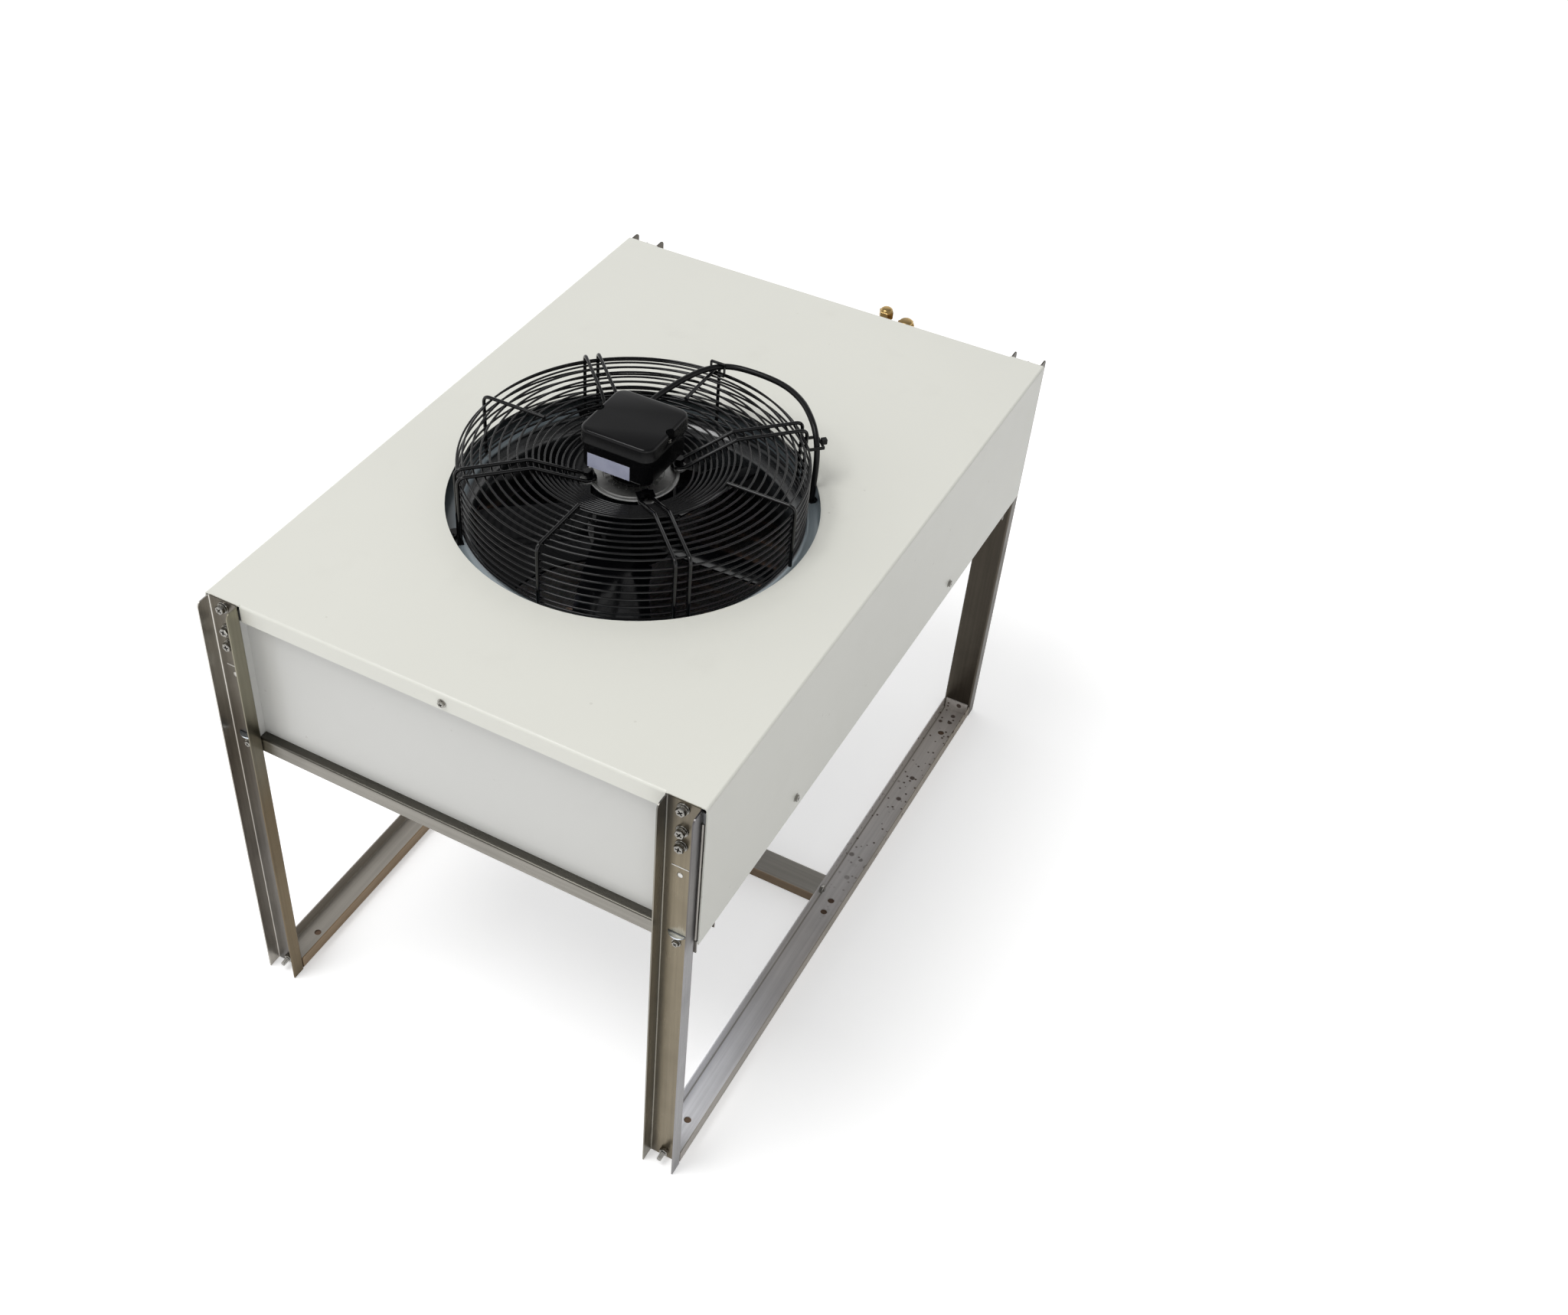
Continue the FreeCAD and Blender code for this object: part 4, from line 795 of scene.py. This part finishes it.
winding = aged_metal("varnished_core", (0.45, 0.26, 0.14), (0.2, 0.12, 0.08), 0.35)
dress(winding, "stator_core")

# Rotor bell and blades: sheet metal in a gloss black coat with a thin film of dust. The blades
# are fixed to the bell and turn with it.
fan_black = glossy_coat("fan_black", (0.002, 0.0023, 0.003), (0.04, 0.04, 0.042), 0.1, 0.03, 0.36)
dress(fan_black, "rotor_can", "fan_impeller")


# Terminal box: moulded black plastic with a lid that overlaps it, two recessed lid screws and a
# blank pale label on the side towards the front.
def rounded_ring(half, corner, level, steps=8):
    """A square with round corners, half a side from the fan axis."""
    ring = []
    for quarter in range(4):
        middle = Vector((half - corner, half - corner, 0))
        for i in range(steps + 1):
            angle = math.pi / 2 * i / steps
            point = middle + Vector((corner * math.cos(angle), corner * math.sin(angle), level))
            ring.append(round_axis([point], 90 * quarter)[0])
    return ring


box_plastic = glossy_coat("box_plastic", (0.004, 0.004, 0.0045), (0.04, 0.04, 0.039), 0.2, 0.035, 0.22)
box_half = 43.3
base = [rounded_ring(half, corner, level) for half, corner, level in (
    (40.6, 8.0, 55.4), (42.2, 9.6, 56.6), (43.0, 10.4, 58.6), (box_half, 10.5, 88.0))]
fitted(skin("box_base", [base]), "condenser", box_plastic, "box_plastic", "terminal_box")
neck = turned([(26.5, 35.0), (26.5, 38.0), (24.0, 39.5), (23.4, 53.0), (26.0, 56.0)], 64)
fitted(skin("box_neck", [neck]), "condenser", box_plastic, "box_plastic")
lid = [rounded_ring(half, corner, level) for half, corner, level in (
    (45.6, 12.8, 88.0), (46.3, 13.5, 88.5), (46.3, 13.5, 89.5), (45.8, 13.0, 90.3), (45.6, 12.8, 102.0),
    (45.1, 12.3, 103.8), (44.0, 11.2, 104.9), (42.2, 9.6, 105.4))]
lid_mesh = skin("box_lid", [lid])
lid_piece = fitted(lid_mesh, "condenser", box_plastic, "box_plastic", "terminal_box_lid")
notch_floor = 92
notches = []
for side in (-1, 1):
    at = on_axis @ Matrix.Translation((side * 45.8 * MM, 0, 0))
    notches.append([loop(at, 6.5 * MM, notch_floor * MM, 32), loop(at, 6.5 * MM, 120 * MM, 32)])
notch_tool = bpy.data.objects.new("notch_tool", skin("notch_tool", notches))
bpy.context.scene.collection.objects.link(notch_tool)
cut = lid_piece.modifiers.new("notches", "BOOLEAN")
cut.operation = "DIFFERENCE"
cut.object = notch_tool
bpy.context.view_layer.update()
cut_mesh = bpy.data.meshes.new_from_object(lid_piece.evaluated_get(bpy.context.evaluated_depsgraph_get()))
lid_piece.modifiers.clear()
lid_piece.data = settled(cut_mesh)
bpy.data.objects.remove(notch_tool)
lid_heads = []
for side in (-1, 1):
    place = (side * 42.55, fan_y, case_top + notch_floor)
    lid_heads += hexagon_screw(place, (0, 0, 1), 5.0, 3.0, 2.9, 0.2)
fitted(skin("lid_screw_heads", lid_heads), "condenser", plated, "screws", "lid_screws")

label_paper = Finish("label_paper")
label_shade = label_paper.cloud(60.0).between(0.3, 0.8)
label_paper.wear(base_color=label_paper.tint(label_shade, (0.50, 0.52, 0.66), (0.42, 0.44, 0.58)),
                 roughness=0.35 + label_paper.cloud(300.0) * 0.1,
                 normal=label_paper.relief(label_paper.cloud(900.0), 0.00001))


def plate_on_box(name, x, z, thickness):
    """A thin plate on the side of the box that faces the front."""
    rings = []
    for out, inset in ((0, 0), (thickness * 0.6, 0), (thickness, 0.15)):
        y = -box_half - out
        corners = [(x[0] + inset, z[0] + inset), (x[1] - inset, z[0] + inset),
                   (x[1] - inset, z[1] - inset), (x[0] + inset, z[1] - inset)]
        rings.append(round_axis([(cx, y, cz) for cx, cz in corners], 0))
    return skin(name, [rings])


fitted(plate_on_box("blank_label", (-33.6, 19.5), (57.6, 75.5), 0.3), "condenser", label_paper,
       "box_plastic")

# Cable gland: a moulded hexagon nut and a round dome on the back of the box, where the motor
# cable comes out of it.
gland_at = facing(fan + Vector((-30, box_half, 68)) * MM, (0, 1, 0))
gland_nut = [loop(gland_at, r * MM, z * MM, 6)
             for r, z in ((10.2, 0), (10.97, 0.8), (10.97, 5.4), (10.0, 6))]
gland_dome = [loop(gland_at, r * MM, z * MM, 32) for r, z in (
    (7.9, 5.8), (7.9, 9.0), (7.5, 11.5), (6.6, 13.8), (5.2, 15.4), (4.2, 16.0), (3.6, 15.6))]
fitted(skin("gland_body", [gland_nut, gland_dome]), "condenser", box_plastic, "box_plastic", "cable_gland")


# Motor cable: black rubber sheath, from the gland over the rim of the guard and down through the
# shroud's flange. Two plastic ties hold it to the guard's bars.
def rubber_sheath(name, color, rough):
    rubber = Finish(name)
    rubber.surface.inputs["Specular IOR Level"].default_value = 0.22
    scuff = rubber.cloud(90.0, 4.0).between(0.5, 0.85)
    rubber.wear(base_color=rubber.tint(scuff * 0.4, color, [c * 2.5 for c in color]),
                roughness=rough + scuff * 0.15, normal=rubber.relief(rubber.cloud(1500.0), 0.00003))
    return rubber


cable_rubber = rubber_sheath("cable_rubber", (0.006, 0.006, 0.0065), 0.3)
cable_route = [(-30, 59.3, 68), (-30, 84, 68), (-24, 112, 70.5), (-16, 141, 72.5), (-6, 170, 72.6),
               (13, 193, 71.8), (49, 196.5, 72), (88, 190.5, 73), (119, 174, 72), (140.5, 153, 69.5),
               (154, 139, 61.5), (162.5, 128.5, 46), (164.6, 124.8, 20), (163, 125.8, -5),
               (163, 125.8, -30)]
cable_mesh = round_wire("cable_sheath", [round_axis(cable_route, 0)], 3.5 * MM, kind="NURBS")
fitted(cable_mesh, "condenser", cable_rubber, "cable_rubber", "motor_cable")
dress(cable_rubber, "cable_ties", "cable_grommet")


# Floor and studio: a pale floor, painted dark brown under the floor rails as painted shade, a pale
# surround that is dimmer to the right, one large soft lamp high at the front left, and a small weak
# one low at the front right.
class Surround(Finish):
    """The world around the object. Its nodes are made as those of a finish are."""

    def __init__(self, name):
        world = bpy.data.worlds.new(name)
        world.use_nodes = True
        bpy.context.scene.world = world
        self.tree = world.node_tree
        self.surface = self.tree.nodes["Background"]


def studio():
    floor_mesh = bpy.data.meshes.new("floor")
    work = bmesh.new()
    bmesh.ops.create_grid(work, x_segments=1, y_segments=1, size=60.0)
    work.to_mesh(floor_mesh)
    work.free()
    floor = bpy.data.objects.new("floor", floor_mesh)
    floor.location.z = -0.0005
    bpy.context.scene.collection.objects.link(floor)
    paint = Finish("floor_paint")
    across = paint.along("X") * paint.along("X")
    forward = paint.along("Y") * paint.along("Y")
    # Painted shade: a dark brown strip under each floor rail, with no glow, so that the rail's holes show
    # dark.
    painted_shade_under_rails = (across.between(0.2585 ** 2, 0.2595 ** 2) * across.between(0.2925 ** 2, 0.2915 ** 2)
                  * forward.between(0.425 ** 2, 0.42 ** 2))
    pale = paint.tint(paint.cloud(1.5), (0.93, 0.93, 0.93), (0.91, 0.91, 0.91))
    paint.wear(base_color=paint.tint(painted_shade_under_rails, pale, (0.16, 0.105, 0.07)), roughness=0.9)
    floor_mesh.materials.append(paint.material)
    paths = [paint.add("ShaderNodeLightPath", {}, {}, name) for name in ("Is Camera Ray", "Is Glossy Ray")]
    paint.wear(emission_color=paint.tint(painted_shade_under_rails, (1, 1, 1), (0, 0, 0)),
               emission_strength=paths[0] * 0.42 + paths[1] * 0.27)
    surround = Surround("surround")
    way = surround.add("ShaderNodeTexCoord", {}, {}, "Generated")
    sideways = surround.add("ShaderNodeSeparateXYZ", {}, {0: way}, "X")
    up = surround.add("ShaderNodeSeparateXYZ", {}, {0: way}, "Z")
    seen, mirrored = [surround.add("ShaderNodeLightPath", {}, {}, name)
                      for name in ("Is Camera Ray", "Is Glossy Ray")]
    overhead = surround.add("ShaderNodeMapRange", {"interpolation_type": "SMOOTHSTEP"},
                            {0: up, 1: 0.25, 2: 0.75, 3: 1.0, 4: 0.3})
    lit = surround.add("ShaderNodeMix", {}, {0: mirrored, 2: 0.59 - sideways * 0.38, 3: overhead})
    level = surround.add("ShaderNodeMix", {}, {0: seen, 2: lit, 3: 1.0})
    surround.wear(color=(1, 1, 1, 1), strength=level)


def soft_lamp(name, place, aim, size, power):
    lamp = bpy.data.lights.new(name, "AREA")
    lamp.shape = "DISK"
    lamp.size = size
    lamp.energy = power
    holder = bpy.data.objects.new(name, lamp)
    holder.visible_camera = False
    holder.location = place
    holder.rotation_euler = (Vector(aim) - Vector(place)).to_track_quat("-Z", "Y").to_euler()
    bpy.context.scene.collection.objects.link(holder)


studio()
soft_lamp("high_lamp", (-2.2, -2.9, 7.8), (0, -0.3, 0.3), 4.0, 270)
soft_lamp("low_lamp", (1.6, -2.3, 1.0), (0.35, -0.42, 0.25), 0.9, 3)

# Camera: at the photograph's viewing angle, with a small shift for its framing.
camera = bpy.data.cameras.new("photo_camera")
camera.sensor_width = 36.0
camera.lens = 40.18
camera.shift_x = 0.0870
camera.shift_y = 0.0326
viewer = bpy.data.objects.new("photo_camera", camera)
viewer.location = (0.7781, -1.4332, 1.8043)
viewer.rotation_euler = [math.radians(angle) for angle in (45.967, -1.330, 30.000)]
bpy.context.scene.collection.objects.link(viewer)
bpy.context.scene.camera = viewer
bpy.context.scene.view_settings.view_transform = "Standard"
